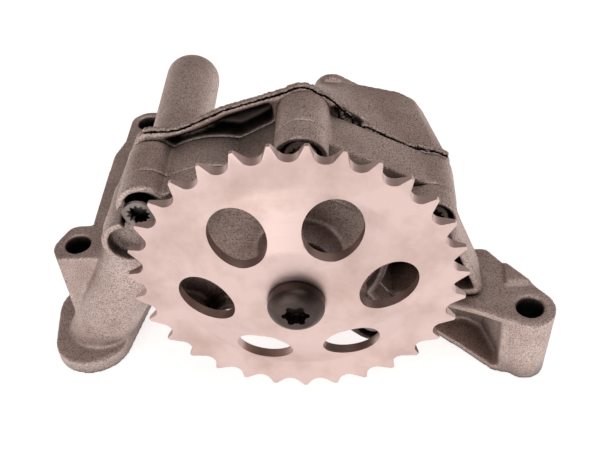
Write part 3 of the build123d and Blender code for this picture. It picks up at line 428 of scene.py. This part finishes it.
@dataclass(frozen=True)
class NitrileRubber:
    """Moulded nitrile rubber: it gives the eye a matt near black with a slight bloom."""

    name: str = "nitrile_rubber"
    light: str = "2B2A29"
    dark: str = "191817"
    bloom: float = 3.0
    roughness: float = 0.7
    refraction: float = 1.52

    def build(self) -> bpy.types.Material:
        """Makes the material.

        Returns:
            The finished material.
        """
        shading = Shading(self.name)
        tone = shading.mix(shading.noise(self.bloom, detail=4.0), self.light, self.dark)
        shading.tree.links.new(tone, shading.shader.inputs["Base Color"])
        shading.shader.inputs["Roughness"].default_value = self.roughness
        shading.shader.inputs["IOR"].default_value = self.refraction
        return shading.material


def merged_copy(node: bpy.types.Object, name: str) -> bpy.types.Object:
    """Copies a node's mesh to a new object whose triangles share their corners.

    Args:
        node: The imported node, which stays as it is.
        name: The name of the new piece.

    Returns:
        The new object, linked to the scene and at the origin.
    """
    mesh = bpy.data.meshes.new(name)
    shape = bmesh.new()
    shape.from_mesh(node.data)
    bmesh.ops.remove_doubles(shape, verts=shape.verts, dist=WELD_DISTANCE * MM)
    shape.to_mesh(mesh)
    shape.free()
    return add_object(name, mesh)


def apply_modifiers(piece: bpy.types.Object) -> None:
    """Turns a piece and its modifiers into a plain mesh on the same object.

    Args:
        piece: The object whose modifiers are applied.
    """
    ready = piece.evaluated_get(bpy.context.evaluated_depsgraph_get())
    mesh = bpy.data.meshes.new_from_object(ready)
    piece.modifiers.clear()
    piece.data = mesh


def triangle_count(piece: bpy.types.Object) -> int:
    """Counts the triangles that a mesh piece comes to.

    Args:
        piece: The piece.

    Returns:
        The number of triangles.
    """
    return sum(len(face.vertices) - 2 for face in piece.data.polygons)


@dataclass
class Casting:
    """A die-cast part: its solid with every edge and root softened, as a mould leaves them."""

    node: str
    finish: bpy.types.Material
    voxel: float = 0.62
    softening: float = 0.5
    rounds: int = 3
    most_triangles: int = 190_000

    def build(self, frame: Mapping[str, Any]) -> bpy.types.Object:
        """Makes the softened copy and lets it stand for its node.

        Args:
            frame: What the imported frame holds.

        Returns:
            The new piece.
        """
        piece = merged_copy(frame["nodes"][self.node], f"{self.node}_cast")
        remesh = piece.modifiers.new("skin", "REMESH")
        remesh.mode = "VOXEL"
        remesh.voxel_size = self.voxel * MM
        smooth = piece.modifiers.new("draft", "CORRECTIVE_SMOOTH")
        smooth.factor = self.softening
        smooth.iterations = self.rounds
        smooth.smooth_type = "SIMPLE"
        smooth.use_only_smooth = True
        apply_modifiers(piece)
        count = triangle_count(piece)
        if count > self.most_triangles:
            thin = piece.modifiers.new("thin", "DECIMATE")
            thin.ratio = self.most_triangles / count
            apply_modifiers(piece)
        piece.data.shade_smooth()
        piece.data.materials.clear()
        piece.data.materials.append(self.finish)
        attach(piece, Body.PUMP.value)
        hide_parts(self.node)
        LOG.info("%s: %d triangles", piece.name, triangle_count(piece))
        return piece


def new_tree(name: str, sizes: Mapping[str, str]) -> bpy.types.NodeTree:
    """Starts a geometry tree that takes a mesh, named sizes and a material, and gives a mesh.

    Args:
        name: The tree's name.
        sizes: Each input's socket type, by its name.

    Returns:
        The tree, with its sockets and without nodes.
    """
    tree = bpy.data.node_groups.new(name, "GeometryNodeTree")
    tree.interface.new_socket("Geometry", in_out="INPUT", socket_type="NodeSocketGeometry")
    for label, kind in sizes.items():
        tree.interface.new_socket(label, in_out="INPUT", socket_type=kind)
    tree.interface.new_socket("Material", in_out="INPUT", socket_type="NodeSocketMaterial")
    tree.interface.new_socket("Geometry", in_out="OUTPUT", socket_type="NodeSocketGeometry")
    return tree


def end_tree(
    tree: bpy.types.NodeTree, shape: bpy.types.NodeSocket, finish: bpy.types.NodeSocket
) -> None:
    """Ends a geometry tree: makes its instances real, sets the material and gives the result.

    Args:
        tree: The geometry tree.
        shape: The socket that holds the shape.
        finish: The input node's material socket.
    """
    plain = add_node(tree, "GeometryNodeRealizeInstances", links={"Geometry": shape})
    dressed = add_node(
        tree,
        "GeometryNodeSetMaterial",
        links={"Geometry": plain.outputs["Geometry"], "Material": finish},
    )
    add_node(tree, "NodeGroupOutput", links={"Geometry": dressed.outputs["Geometry"]})


def sweep(
    tree: bpy.types.NodeTree, line: bpy.types.Node, profile: bpy.types.Node
) -> bpy.types.NodeSocket:
    """Sweeps a profile along a line and closes both ends.

    Args:
        tree: The geometry tree.
        line: The node that gives the line.
        profile: The node that gives the profile.

    Returns:
        The socket that holds the swept mesh.
    """
    links = {"Curve": line.outputs["Curve"], "Profile Curve": profile.outputs["Curve"]}
    values = {"Fill Caps": True}
    return add_node(tree, "GeometryNodeCurveToMesh", values=values, links=links).outputs["Mesh"]


def grow(
    name: str,
    points: list[tuple[float, float, float]],
    joined: bool,
    tree: bpy.types.NodeTree,
    sizes: Mapping[str, Any],
) -> bpy.types.Object:
    """Runs a geometry tree on a few points and keeps the result as a plain mesh.

    Args:
        name: The new piece's name.
        points: The points that the tree starts from, in metres.
        joined: Whether each point is joined to the next by an edge.
        tree: The geometry tree.
        sizes: The value of each of the tree's inputs, by its name.

    Returns:
        The new piece, linked to the scene and at the origin.
    """
    mesh = bpy.data.meshes.new(name)
    edges = [(i, i + 1) for i in range(len(points) - 1)] if joined else []
    mesh.from_pydata(points, edges, [])
    piece = add_object(name, mesh)
    modifier = piece.modifiers.new(name, "NODES")
    modifier.node_group = tree
    for socket in tree.interface.items_tree:
        if socket.in_out == "INPUT" and socket.name in sizes:
            modifier[socket.identifier] = sizes[socket.name]
    apply_modifiers(piece)
    return piece


@dataclass
class CoverScrews:
    """The five socket screws that hold the cover and both housings together; sizes in mm.

    The thread has a real pitch and plain sharp ridges.
    """

    finish: bpy.types.Material
    seat_y: float = 13.2
    places: tuple[tuple[float, float], ...] = (
        (3.4, 37.0),
        (-44.2, 18.2),
        (38.3, 13.4),
        (21.5, -30.0),
        (-38.0, -24.0),
    )
    head_radius: float = 4.9
    head_height: float = 4.0
    rim_chamfer: float = 0.45
    socket_radius: float = 3.6
    socket_inner_radius: float = 2.64
    socket_depth: float = 3.0
    core_radius: float = 2.6
    thread_radius: float = 2.95
    pitch: float = 1.0
    length: float = 21.0
    head_sides: int = 48
    shank_sides: int = 24
    thread_steps: int = 20
    ridge_sides: int = 4
    seed: int = 5
    sharp_angle: float = 30.0

    def build(self) -> bpy.types.Object:
        """Makes the five screws as one piece that stands for their node.

        Returns:
            The new piece.
        """
        tree = self.build_tree()
        points = [(x * MM, self.seat_y * MM, z * MM) for x, z in self.places]
        sizes = {
            "Head Radius": self.head_radius * MM,
            "Head Height": (self.head_height - self.rim_chamfer) * MM,
            "Rim Chamfer": self.rim_chamfer * MM,
            "Length": self.length * MM,
            "Seed": self.seed,
            "Material": self.finish,
        }
        piece = grow("cover_screws_threaded", points, False, tree, sizes)
        piece.data.set_sharp_from_angle(angle=math.radians(self.sharp_angle))
        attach(piece, Body.PUMP.value)
        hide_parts("cover_screws")
        LOG.info("%s: %d triangles", piece.name, triangle_count(piece))
        return piece

    def build_tree(self) -> bpy.types.NodeTree:
        """Builds one screw and sets it on each point, turned by chance about its own axis.

        Returns:
            The geometry tree.
        """
        number = "NodeSocketFloat"
        tree = new_tree(
            "socket_screws",
            {
                "Head Radius": number,
                "Head Height": number,
                "Rim Chamfer": number,
                "Length": number,
                "Seed": "NodeSocketInt",
            },
        )
        given = add_node(tree, "NodeGroupInput").outputs
        head = self.build_head(tree, given)
        shank = self.build_shank(tree, given)
        screw = add_node(tree, "GeometryNodeJoinGeometry", links={"Geometry": head})
        tree.links.new(shank, screw.inputs["Geometry"])
        facing = add_node(
            tree,
            "GeometryNodeTransform",
            values={"Rotation": (math.radians(90), 0.0, 0.0)},
            links={"Geometry": screw.outputs["Geometry"]},
        )
        turn = add_node(
            tree,
            "FunctionNodeRandomValue",
            settings={"data_type": "FLOAT_VECTOR"},
            values={0: (0.0, -math.pi, 0.0), 1: (0.0, math.pi, 0.0)},
            links={"Seed": given["Seed"]},
        )
        placed = add_node(
            tree,
            "GeometryNodeInstanceOnPoints",
            links={
                "Points": given["Geometry"],
                "Instance": facing.outputs["Geometry"],
                "Rotation": turn.outputs["Value"],
            },
        )
        end_tree(tree, placed.outputs["Instances"], given["Material"])
        return tree

    def build_head(
        self, tree: bpy.types.NodeTree, given: Mapping[str, bpy.types.NodeSocket]
    ) -> bpy.types.NodeSocket:
        """Makes the round head with its chamfered rim and twelve-point socket.

        Args:
            tree: The geometry tree.
            given: The outputs of the tree's input node.

        Returns:
            The socket that holds the head's mesh, its seat at height 0.
        """
        barrel = add_node(
            tree,
            "GeometryNodeMeshCylinder",
            values={"Vertices": self.head_sides},
            links={"Radius": given["Head Radius"], "Depth": given["Head Height"]},
        )
        half = add_node(
            tree,
            "ShaderNodeMath",
            settings={"operation": "MULTIPLY"},
            values={1: 0.5},
            links={0: given["Head Height"]},
        )
        lift = add_node(tree, "ShaderNodeCombineXYZ", links={"Z": half.outputs["Value"]})
        lower = add_node(
            tree,
            "GeometryNodeTransform",
            links={"Geometry": barrel.outputs["Mesh"], "Translation": lift.outputs["Vector"]},
        )
        top_radius = add_node(
            tree,
            "ShaderNodeMath",
            settings={"operation": "SUBTRACT"},
            links={0: given["Head Radius"], 1: given["Rim Chamfer"]},
        )
        rim = add_node(
            tree,
            "GeometryNodeMeshCone",
            values={"Vertices": self.head_sides},
            links={
                "Radius Top": top_radius.outputs["Value"],
                "Radius Bottom": given["Head Radius"],
                "Depth": given["Rim Chamfer"],
            },
        )
        rise = add_node(tree, "ShaderNodeCombineXYZ", links={"Z": given["Head Height"]})
        upper = add_node(
            tree,
            "GeometryNodeTransform",
            links={"Geometry": rim.outputs["Mesh"], "Translation": rise.outputs["Vector"]},
        )
        whole = add_node(
            tree,
            "GeometryNodeMeshBoolean",
            settings={"operation": "UNION"},
            links={"Mesh 2": lower.outputs["Geometry"]},
        )
        tree.links.new(upper.outputs["Geometry"], whole.inputs["Mesh 2"])
        star = add_node(
            tree,
            "GeometryNodeCurveStar",
            values={
                "Points": 12,
                "Inner Radius": self.socket_inner_radius * MM,
                "Outer Radius": self.socket_radius * MM,
            },
        )
        reach = self.head_height - self.socket_depth
        way = add_node(
            tree,
            "GeometryNodeCurvePrimitiveLine",
            values={"Start": (0.0, 0.0, reach * MM), "End": (0.0, 0.0, 2 * self.head_height * MM)},
        )
        cutter = sweep(tree, way, star)
        cut = add_node(
            tree,
            "GeometryNodeMeshBoolean",
            settings={"operation": "DIFFERENCE"},
            links={"Mesh 1": whole.outputs["Mesh"], "Mesh 2": cutter},
        )
        return cut.outputs["Mesh"]

    def build_shank(
        self, tree: bpy.types.NodeTree, given: Mapping[str, bpy.types.NodeSocket]
    ) -> bpy.types.NodeSocket:
        """Makes the shank with its coarse thread.

        Args:
            tree: The geometry tree.
            given: The outputs of the tree's input node.

        Returns:
            The socket that holds the shank's mesh, hanging down from height 0.
        """
        core = add_node(
            tree,
            "GeometryNodeMeshCylinder",
            values={"Vertices": self.shank_sides, "Radius": self.core_radius * MM},
            links={"Depth": given["Length"]},
        )
        half = add_node(
            tree,
            "ShaderNodeMath",
            settings={"operation": "MULTIPLY"},
            values={1: -0.5},
            links={0: given["Length"]},
        )
        drop = add_node(tree, "ShaderNodeCombineXYZ", links={"Z": half.outputs["Value"]})
        hung = add_node(
            tree,
            "GeometryNodeTransform",
            links={"Geometry": core.outputs["Mesh"], "Translation": drop.outputs["Vector"]},
        )
        ridge = self.thread_radius - self.core_radius
        turns = (self.length - 2 * self.pitch) / self.pitch
        helix = add_node(
            tree,
            "GeometryNodeCurveSpiral",
            values={
                "Resolution": self.thread_steps,
                "Rotations": turns,
                "Start Radius": self.core_radius * MM,
                "End Radius": self.core_radius * MM,
                "Height": turns * self.pitch * MM,
            },
        )
        profile = add_node(
            tree,
            "GeometryNodeCurvePrimitiveCircle",
            values={"Resolution": self.ridge_sides, "Radius": ridge * MM},
        )
        thread = sweep(tree, helix, profile)
        low = (self.pitch / 2 - self.length) * MM
        sunk = add_node(
            tree,
            "GeometryNodeTransform",
            values={"Translation": (0.0, 0.0, low)},
            links={"Geometry": thread},
        )
        both = add_node(
            tree, "GeometryNodeJoinGeometry", links={"Geometry": hung.outputs["Geometry"]}
        )
        tree.links.new(sunk.outputs["Geometry"], both.inputs["Geometry"])
        return both.outputs["Geometry"]


@dataclass
class ReliefSpring:
    """The coil spring behind the relief piston, which shortens as it opens; sizes in mm."""

    finish: bpy.types.Material
    place: tuple[float, float] = (-35.2, 19.4)
    coil_radius: float = 2.9
    wire_radius: float = 0.6
    turns: float = 7.0
    fixed_end: float = 72.7
    opening: float = 8.0
    steps_a_turn: int = 28
    wire_sides: int = 12

    def build(self) -> bpy.types.Object:
        """Winds the spring between the ends of its node.

        Returns:
            The new piece.
        """
        low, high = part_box("relief_spring")
        front = low[1] + self.wire_radius * MM
        reach = high[1] - self.wire_radius * MM - front
        sizes = {
            "Coil Radius": self.coil_radius * MM,
            "Wire Radius": self.wire_radius * MM,
            "Reach": reach,
            "Turns": self.turns,
            "Material": self.finish,
        }
        centre = (self.place[0] * MM, front, self.place[1] * MM)
        piece = grow("relief_spring_coil", [centre], False, self.build_tree(), sizes)
        piece.data.shade_smooth()
        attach(piece, Body.PUMP.value)
        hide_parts("relief_spring")
        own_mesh(piece)
        LOG.info("%s: %d triangles", piece.name, triangle_count(piece))
        return piece

    def build_tree(self) -> bpy.types.NodeTree:
        """Sweeps round wire along a helix that runs back from the starting point.

        Returns:
            The geometry tree.
        """
        number = "NodeSocketFloat"
        tree = new_tree(
            "coil_spring",
            {"Coil Radius": number, "Wire Radius": number, "Reach": number, "Turns": number},
        )
        given = add_node(tree, "NodeGroupInput").outputs
        helix = add_node(
            tree,
            "GeometryNodeCurveSpiral",
            values={"Resolution": self.steps_a_turn},
            links={
                "Rotations": given["Turns"],
                "Start Radius": given["Coil Radius"],
                "End Radius": given["Coil Radius"],
                "Height": given["Reach"],
            },
        )
        wire = add_node(
            tree,
            "GeometryNodeCurvePrimitiveCircle",
            values={"Resolution": self.wire_sides},
            links={"Radius": given["Wire Radius"]},
        )
        wound = sweep(tree, helix, wire)
        along = add_node(
            tree,
            "GeometryNodeTransform",
            values={"Rotation": (math.radians(-90), 0.0, 0.0)},
            links={"Geometry": wound},
        )
        placed = add_node(
            tree,
            "GeometryNodeInstanceOnPoints",
            links={"Points": given["Geometry"], "Instance": along.outputs["Geometry"]},
        )
        end_tree(tree, placed.outputs["Instances"], given["Material"])
        return tree


@dataclass(frozen=True)
class Strip:
    """One ragged strip: its depth along Y and its sizes in mm."""

    name: str
    depth: float
    width: float
    height: float
    jag: float
    seed: float


@dataclass
class PartingFlash:
    """The ragged line that the trimmed flash leaves along the rear housing's front lip, and the
    painted shadow of the crack before it.

    Its teeth are drawn a little coarser than real flash, so that they show in the picture.
    """

    finish: bpy.types.Material
    shadow: bpy.types.Material
    ridge: Strip = Strip("split_flash", 31.0, 1.5, 1.1, 1.0, 1.0)
    # Painted shadow: a thin dark strip laid on the lip where the crack before the flash lies in
    # shade.
    crack_shadow: Strip = Strip("split_crack_shadow", 30.0, 0.62, 0.34, 0.9, 2.0)
    first_x: float = -43.5
    last_x: float = 44.0
    step: float = 0.5
    above: float = 90.0
    point_step: float = 0.3
    line_grain: float = 1.1
    edge_grain: float = 0.45
    spot_size: float = 2.6
    spot_span: tuple[float, float] = (0.4, 0.6)
    thin_share: float = 0.12

    def build(self, casting: bpy.types.Object) -> list[bpy.types.Object]:
        """Makes the torn ridge and the painted shadow of the crack before it, on the casting's own
        surface.

        Args:
            casting: The rear housing's piece.

        Returns:
            Both strips.
        """
        tree = self.build_tree()
        pieces = []
        for strip, finish in ((self.ridge, self.finish), (self.crack_shadow, self.shadow)):
            sizes = {
                "Width": strip.width * MM,
                "Height": strip.height * MM,
                "Jag": strip.jag * MM,
                "Seed": strip.seed,
                "Material": finish,
            }
            piece = grow(strip.name, self.path(casting, strip.depth), True, tree, sizes)
            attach(piece, Body.PUMP.value)
            LOG.info("%s: %d triangles", piece.name, triangle_count(piece))
            pieces.append(piece)
        return pieces

    def path(self, casting: bpy.types.Object, y: float) -> list[tuple[float, float, float]]:
        """Finds the line on top of the lip at one depth.

        Args:
            casting: The rear housing's piece.
            y: The depth in mm.

        Returns:
            Points on the surface, in metres, from left to right.
        """
        steps = round((self.last_x - self.first_x) / self.step)
        points = []
        for i in range(steps + 1):
            x = self.first_x + i * self.step
            found, place, _, _ = casting.ray_cast(
                Vector((x * MM, y * MM, self.above * MM)), Vector((0.0, 0.0, -1.0))
            )
            if found:
                points.append(tuple(place))
        return points

    def build_tree(self) -> bpy.types.NodeTree:
        """Sweeps a flat bar along the line, torn and thinned by noise.

        Returns:
            The geometry tree.
        """
        number = "NodeSocketFloat"
        tree = new_tree(
            "ragged_strip", {"Width": number, "Height": number, "Jag": number, "Seed": number}
        )
        given = add_node(tree, "NodeGroupInput").outputs
        line = add_node(tree, "GeometryNodeMeshToCurve", links={"Mesh": given["Geometry"]})
        even = add_node(
            tree,
            "GeometryNodeResampleCurve",
            settings={"mode": "LENGTH"},
            values={"Length": self.point_step * MM},
            links={"Curve": line.outputs["Curve"]},
        )
        level = add_node(
            tree,
            "GeometryNodeSetCurveNormal",
            settings={"mode": "Z_UP"},
            links={"Curve": even.outputs["Curve"]},
        )
        ragged = self.torn(tree, level.outputs["Curve"], given, self.line_grain)
        spot = add_node(
            tree,
            "ShaderNodeTexNoise",
            settings={"noise_dimensions": "4D"},
            values={"Scale": 1 / (self.spot_size * MM), "Detail": 3.0},
            links={"W": given["Seed"]},
        )
        low, high = self.spot_span
        share = add_node(
            tree,
            "ShaderNodeMapRange",
            values={"From Min": low, "From Max": high, "To Min": self.thin_share},
            links={"Value": spot.outputs["Fac"]},
        )
        thinned = add_node(
            tree,
            "GeometryNodeSetCurveRadius",
            links={"Curve": ragged, "Radius": share.outputs["Result"]},
        )
        bar = add_node(
            tree,
            "GeometryNodeCurvePrimitiveQuadrilateral",
            links={"Width": given["Width"], "Height": given["Height"]},
        )
        rough = self.torn(tree, sweep(tree, thinned, bar), given, self.edge_grain)
        end_tree(tree, rough, given["Material"])
        return tree

    def torn(
        self,
        tree: bpy.types.NodeTree,
        shape: bpy.types.NodeSocket,
        given: Mapping[str, bpy.types.NodeSocket],
        grain: float,
    ) -> bpy.types.NodeSocket:
        """Shifts points by noise, as metal tears.

        Args:
            tree: The geometry tree.
            shape: The socket that holds the points.
            given: The outputs of the tree's input node.
            grain: The noise's grain in mm.

        Returns:
            The socket that holds the shifted points.
        """
        spread = add_node(
            tree,
            "ShaderNodeTexNoise",
            settings={"noise_dimensions": "4D"},
            values={"Scale": 1 / (grain * MM), "Detail": 2.0},
            links={"W": given["Seed"]},
        )
        # The noise runs from 0 to 1, so half is taken off and the points move either way.
        centred = add_node(
            tree,
            "ShaderNodeVectorMath",
            settings={"operation": "SUBTRACT"},
            values={1: (0.5, 0.5, 0.5)},
            links={0: spread.outputs["Color"]},
        )
        shift = add_node(
            tree,
            "ShaderNodeVectorMath",
            settings={"operation": "SCALE"},
            links={0: centred.outputs["Vector"], "Scale": given["Jag"]},
        )
        moved = add_node(
            tree,
            "GeometryNodeSetPosition",
            links={"Geometry": shape, "Offset": shift.outputs["Vector"]},
        )
        return moved.outputs["Geometry"]


@dataclass
class SteelPart:
    """A machined or stamped part: its solid with a fine rolled edge; sizes in mm and degrees."""

    node: str
    body: Body
    slot: Slot
    finish: bpy.types.Material
    edge: float = 0.3
    steps: int = 2
    angle: float = 35.0
    flat_angle: float = 0.4

    def build(self, frame: Mapping[str, Any]) -> bpy.types.Object:
        """Makes the copy with its broken edges and lets it stand for its node.

        Args:
            frame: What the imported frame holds.

        Returns:
            The new piece.
        """
        piece = merged_copy(frame["nodes"][self.node], f"{self.node}_worked")
        shape = bmesh.new()
        shape.from_mesh(piece.data)
        bmesh.ops.dissolve_limit(
            shape,
            angle_limit=math.radians(self.flat_angle),
            verts=shape.verts,
            edges=shape.edges,
        )
        shape.to_mesh(piece.data)
        shape.free()
        bevel = piece.modifiers.new("broken_edge", "BEVEL")
        bevel.width = self.edge * MM
        bevel.segments = self.steps
        bevel.limit_method = "ANGLE"
        bevel.angle_limit = math.radians(self.angle)
        bevel.miter_outer = "MITER_ARC"
        apply_modifiers(piece)
        piece.data.shade_smooth()
        piece.data.set_sharp_from_angle(angle=math.radians(self.angle))
        flat = piece.modifiers.new("flat_faces", "WEIGHTED_NORMAL")
        flat.keep_sharp = True
        apply_modifiers(piece)
        piece.data.materials.clear()
        piece.data.materials.append(self.finish)
        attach(piece, self.body.value)
        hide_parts(self.node)
        LOG.info("%s: %d triangles", piece.name, triangle_count(piece))
        return piece


@dataclass(frozen=True)
class Viewpoint:
    """The photograph's camera, in degrees and mm: its place, its lean and its lens."""

    azimuth: float = 6.6
    elevation: float = 42.69
    roll: float = -6.29
    lens: float = 54.68
    sensor: float = 36.0
    clip: tuple[float, float] = (0.01, 20.0)
    place: tuple[float, float, float] = (23.039, -179.746, 186.827)

    def build(self) -> bpy.types.Object:
        """Makes the camera and gives it to the scene.

        Returns:
            The camera object.
        """
        side, rise = math.radians(self.azimuth), math.radians(self.elevation)
        back = Vector(
            (math.sin(side) * math.cos(rise), -math.cos(side) * math.cos(rise), math.sin(rise))
        )
        level = (-back).cross(Vector((0, 0, 1))).normalized()
        upright = level.cross(-back)
        lean = math.radians(self.roll)
        right = level * math.cos(lean) + upright * math.sin(lean)
        up = -level * math.sin(lean) + upright * math.cos(lean)
        data = bpy.data.cameras.new("camera")
        data.lens = self.lens
        data.sensor_width = self.sensor
        data.clip_start, data.clip_end = self.clip
        camera = add_object("camera", data)
        turn = Matrix((right, up, back)).transposed().to_4x4()
        camera.matrix_world = Matrix.Translation(Vector(self.place) * MM) @ turn
        bpy.context.scene.camera = camera
        return camera


@dataclass(frozen=True)
class SoftLamp:
    """One plain area lamp, in metres and watts."""

    name: str
    place: tuple[float, float, float]
    target: tuple[float, float, float]
    size: float
    power: float

    def build(self) -> bpy.types.Object:
        """Makes the lamp, aimed at its target.

        Returns:
            The lamp object.
        """
        data = bpy.data.lights.new(self.name, "AREA")
        data.shape = "SQUARE"
        data.size = self.size
        data.energy = self.power
        lamp = add_object(self.name, data)
        aim = Vector(self.target) - Vector(self.place)
        turn = aim.to_track_quat("-Z", "Y").to_matrix().to_4x4()
        lamp.matrix_world = Matrix.Translation(Vector(self.place)) @ turn
        return lamp


@dataclass(frozen=True)
class Studio:
    """The white table and the pale room round the part, in metres."""

    table: float = 3.0
    paper: str = "F4F2F1"
    ceiling: str = "756B67"
    horizon: str = "C9C2BF"
    seen_glow: float = 0.72
    shine_glow: float = 0.6
    ceiling_rise: float = 0.7

    def build(self, floor_height: float) -> None:
        """Makes the table top, the room's light and the lamps.

        Args:
            floor_height: The table top's height in metres.
        """
        self.build_table(floor_height)
        self.build_room()
        SoftLamp(
            "front_softbox",
            place=(-0.4, -1.1, 0.5),
            target=(0.0, 0.0, 0.0),
            size=1.2,
            power=4.6,
        ).build()
        SoftLamp(
            "top_softbox",
            place=(0.2, -0.1, 1.0),
            target=(0.0, 0.03, 0.0),
            size=0.8,
            power=2.4,
        ).build()

    def build_table(self, floor_height: float) -> None:
        """Makes the table top, white to the eye and in reflections, with the part's shadow.

        Args:
            floor_height: The table top's height in metres.
        """
        half = self.table
        corners = [
            (-half, -half, floor_height),
            (half, -half, floor_height),
            (half, half, floor_height),
            (-half, half, floor_height),
        ]
        mesh = bpy.data.meshes.new("table_top")
        mesh.from_pydata(corners, [], [(0, 1, 2, 3)])
        table = add_object("table_top", mesh)
        material = bpy.data.materials.new("white_paper")
        material.use_nodes = True
        tree = material.node_tree
        tree.nodes.clear()
        path = add_node(tree, "ShaderNodeLightPath")
        mirrored = add_node(
            tree,
            "ShaderNodeMath",
            settings={"operation": "MAXIMUM"},
            links={0: path.outputs["Is Glossy Ray"], 1: path.outputs["Is Transmission Ray"]},
        )
        shine = add_node(
            tree,
            "ShaderNodeMath",
            settings={"operation": "MULTIPLY"},
            values={1: self.shine_glow},
            links={0: mirrored.outputs["Value"]},
        )
        strength = add_node(
            tree,
            "ShaderNodeMath",
            settings={"operation": "MULTIPLY_ADD"},
            values={1: self.seen_glow},
            links={0: path.outputs["Is Camera Ray"], 2: shine.outputs["Value"]},
        )
        paper = add_node(tree, "ShaderNodeBsdfDiffuse", values={"Color": linear(self.paper)})
        glow = add_node(
            tree,
            "ShaderNodeEmission",
            values={"Color": (1.0, 1.0, 1.0, 1.0)},
            links={"Strength": strength.outputs["Value"]},
        )
        both = add_node(
            tree,
            "ShaderNodeAddShader",
            links={0: paper.outputs["BSDF"], 1: glow.outputs["Emission"]},
        )
        add_node(tree, "ShaderNodeOutputMaterial", links={"Surface": both.outputs["Shader"]})
        mesh.materials.append(material)
        table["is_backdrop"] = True

    def build_room(self) -> None:
        """Makes the room: white to the eye, and pale low down and darker overhead for the metal."""
        world = bpy.data.worlds.new("pale_room")
        bpy.context.scene.world = world
        world.use_nodes = True
        tree = world.node_tree
        tree.nodes.clear()
        path = add_node(tree, "ShaderNodeLightPath")
        place = add_node(tree, "ShaderNodeTexCoord").outputs["Generated"]
        parts = add_node(tree, "ShaderNodeSeparateXYZ", links={"Vector": place})
        rise = add_node(
            tree,
            "ShaderNodeMapRange",
            values={"From Min": 0.0, "From Max": self.ceiling_rise},
            links={"Value": parts.outputs["Z"]},
        )
        shade = add_node(
            tree,
            "ShaderNodeMix",
            settings={"data_type": "RGBA"},
            values={6: linear(self.horizon), 7: linear(self.ceiling)},
            links={0: rise.outputs["Result"]},
        )
        colour = add_node(
            tree,
            "ShaderNodeMix",
            settings={"data_type": "RGBA"},
            values={7: (1.0, 1.0, 1.0, 1.0)},
            links={0: path.outputs["Is Camera Ray"], 6: shade.outputs[2]},
        )
        light = add_node(tree, "ShaderNodeBackground", links={"Color": colour.outputs[2]})
        add_node(tree, "ShaderNodeOutputWorld", links={"Surface": light.outputs["Background"]})


def dress(node: bpy.types.Object, finish: bpy.types.Material) -> None:
    """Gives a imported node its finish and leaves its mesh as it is.

    Args:
        node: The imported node.
        finish: The material that it gets.
    """
    node.data.materials.clear()
    node.data.materials.append(finish)


def main() -> None:
    """Loads the frame and builds every piece, the camera and the studio."""
    logging.basicConfig(level=logging.INFO, format="%(name)s: %(message)s")
    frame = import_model()
    cad_box = [list(corner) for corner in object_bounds()]
    bpy.context.scene.view_settings.view_transform = "Standard"

    # The castings: pale, dull and grainy, with painted shade going nearly black where they close in
    # on themselves.
    casting = DieCastAluminium("die_cast_aluminium").build()
    # The torn line along the split: a thin black shadow.
    crack_shadow = DieCastAluminium(
        "painted_crack_shadow", light="2A211E", dark="120D0C", speck="0C0908"
    ).build()
    # The sprocket: the lightest metal, satin, with faint stains and painted shade round its bolt.
    sprocket_steel = WorkedSteel("sintered_sprocket_steel", "E6CEC8", "CFB5AD", 0.36).build()
    # The sprocket's bolt: phosphated, a dark brown grey with a soft shine on its dome.
    bolt_steel = WorkedSteel("phosphated_bolt_steel", "5C504C", "382F2D", 0.36).build()
    # The cover screws: a mid grey coat, with painted shade going black down in the sockets.
    screw_steel = WorkedSteel(
        "zinc_flaked_screw_steel", "A69C97", "7F7671", 0.4, shelter=7.0
    ).build()
    # What the castings hide: ground pins, grey gears, dark wire, brown bronze and black rings.
    by_slot = {
        Slot.CASTING: casting,
        Slot.SPROCKET: sprocket_steel,
        Slot.BOLT: bolt_steel,
        Slot.MACHINED: WorkedSteel("ground_steel", "C9C4C0", "A9A29E", 0.22).build(),
        Slot.GEAR: WorkedSteel("sintered_gear_steel", "A39C98", "837B77", 0.42).build(),
        Slot.SPRING: WorkedSteel("oil_tempered_wire", "6B6663", "4E4A48", 0.3).build(),
        Slot.BRONZE: WorkedSteel("sintered_bronze", "B98A58", "946A3E", 0.4).build(),
        Slot.RUBBER: NitrileRubber().build(),
    }
    for part in frame["record"]["subparts"]:
        if part["node"] in frame["nodes"]:
            dress(frame["nodes"][part["node"]], by_slot[Slot(part["material_slot"])])

    rear = Casting("rear_housing", casting).build(frame)
    Casting("gear_housing", casting, voxel=0.5).build(frame)
    Casting("front_cover", casting, voxel=0.5).build(frame)
    PartingFlash(casting, crack_shadow).build(rear)
    SteelPart("drive_sprocket", Body.ROTOR, Slot.SPROCKET, sprocket_steel).build(frame)
    SteelPart("sprocket_bolt", Body.ROTOR, Slot.BOLT, bolt_steel, edge=0.25).build(frame)
    CoverScrews(screw_steel).build()
    ReliefSpring(by_slot[Slot.SPRING]).build()

    Viewpoint().build()
    Studio().build(cad_box[0][2] - FLOOR_DROP * MM)


if __name__ == "__main__":
    main()
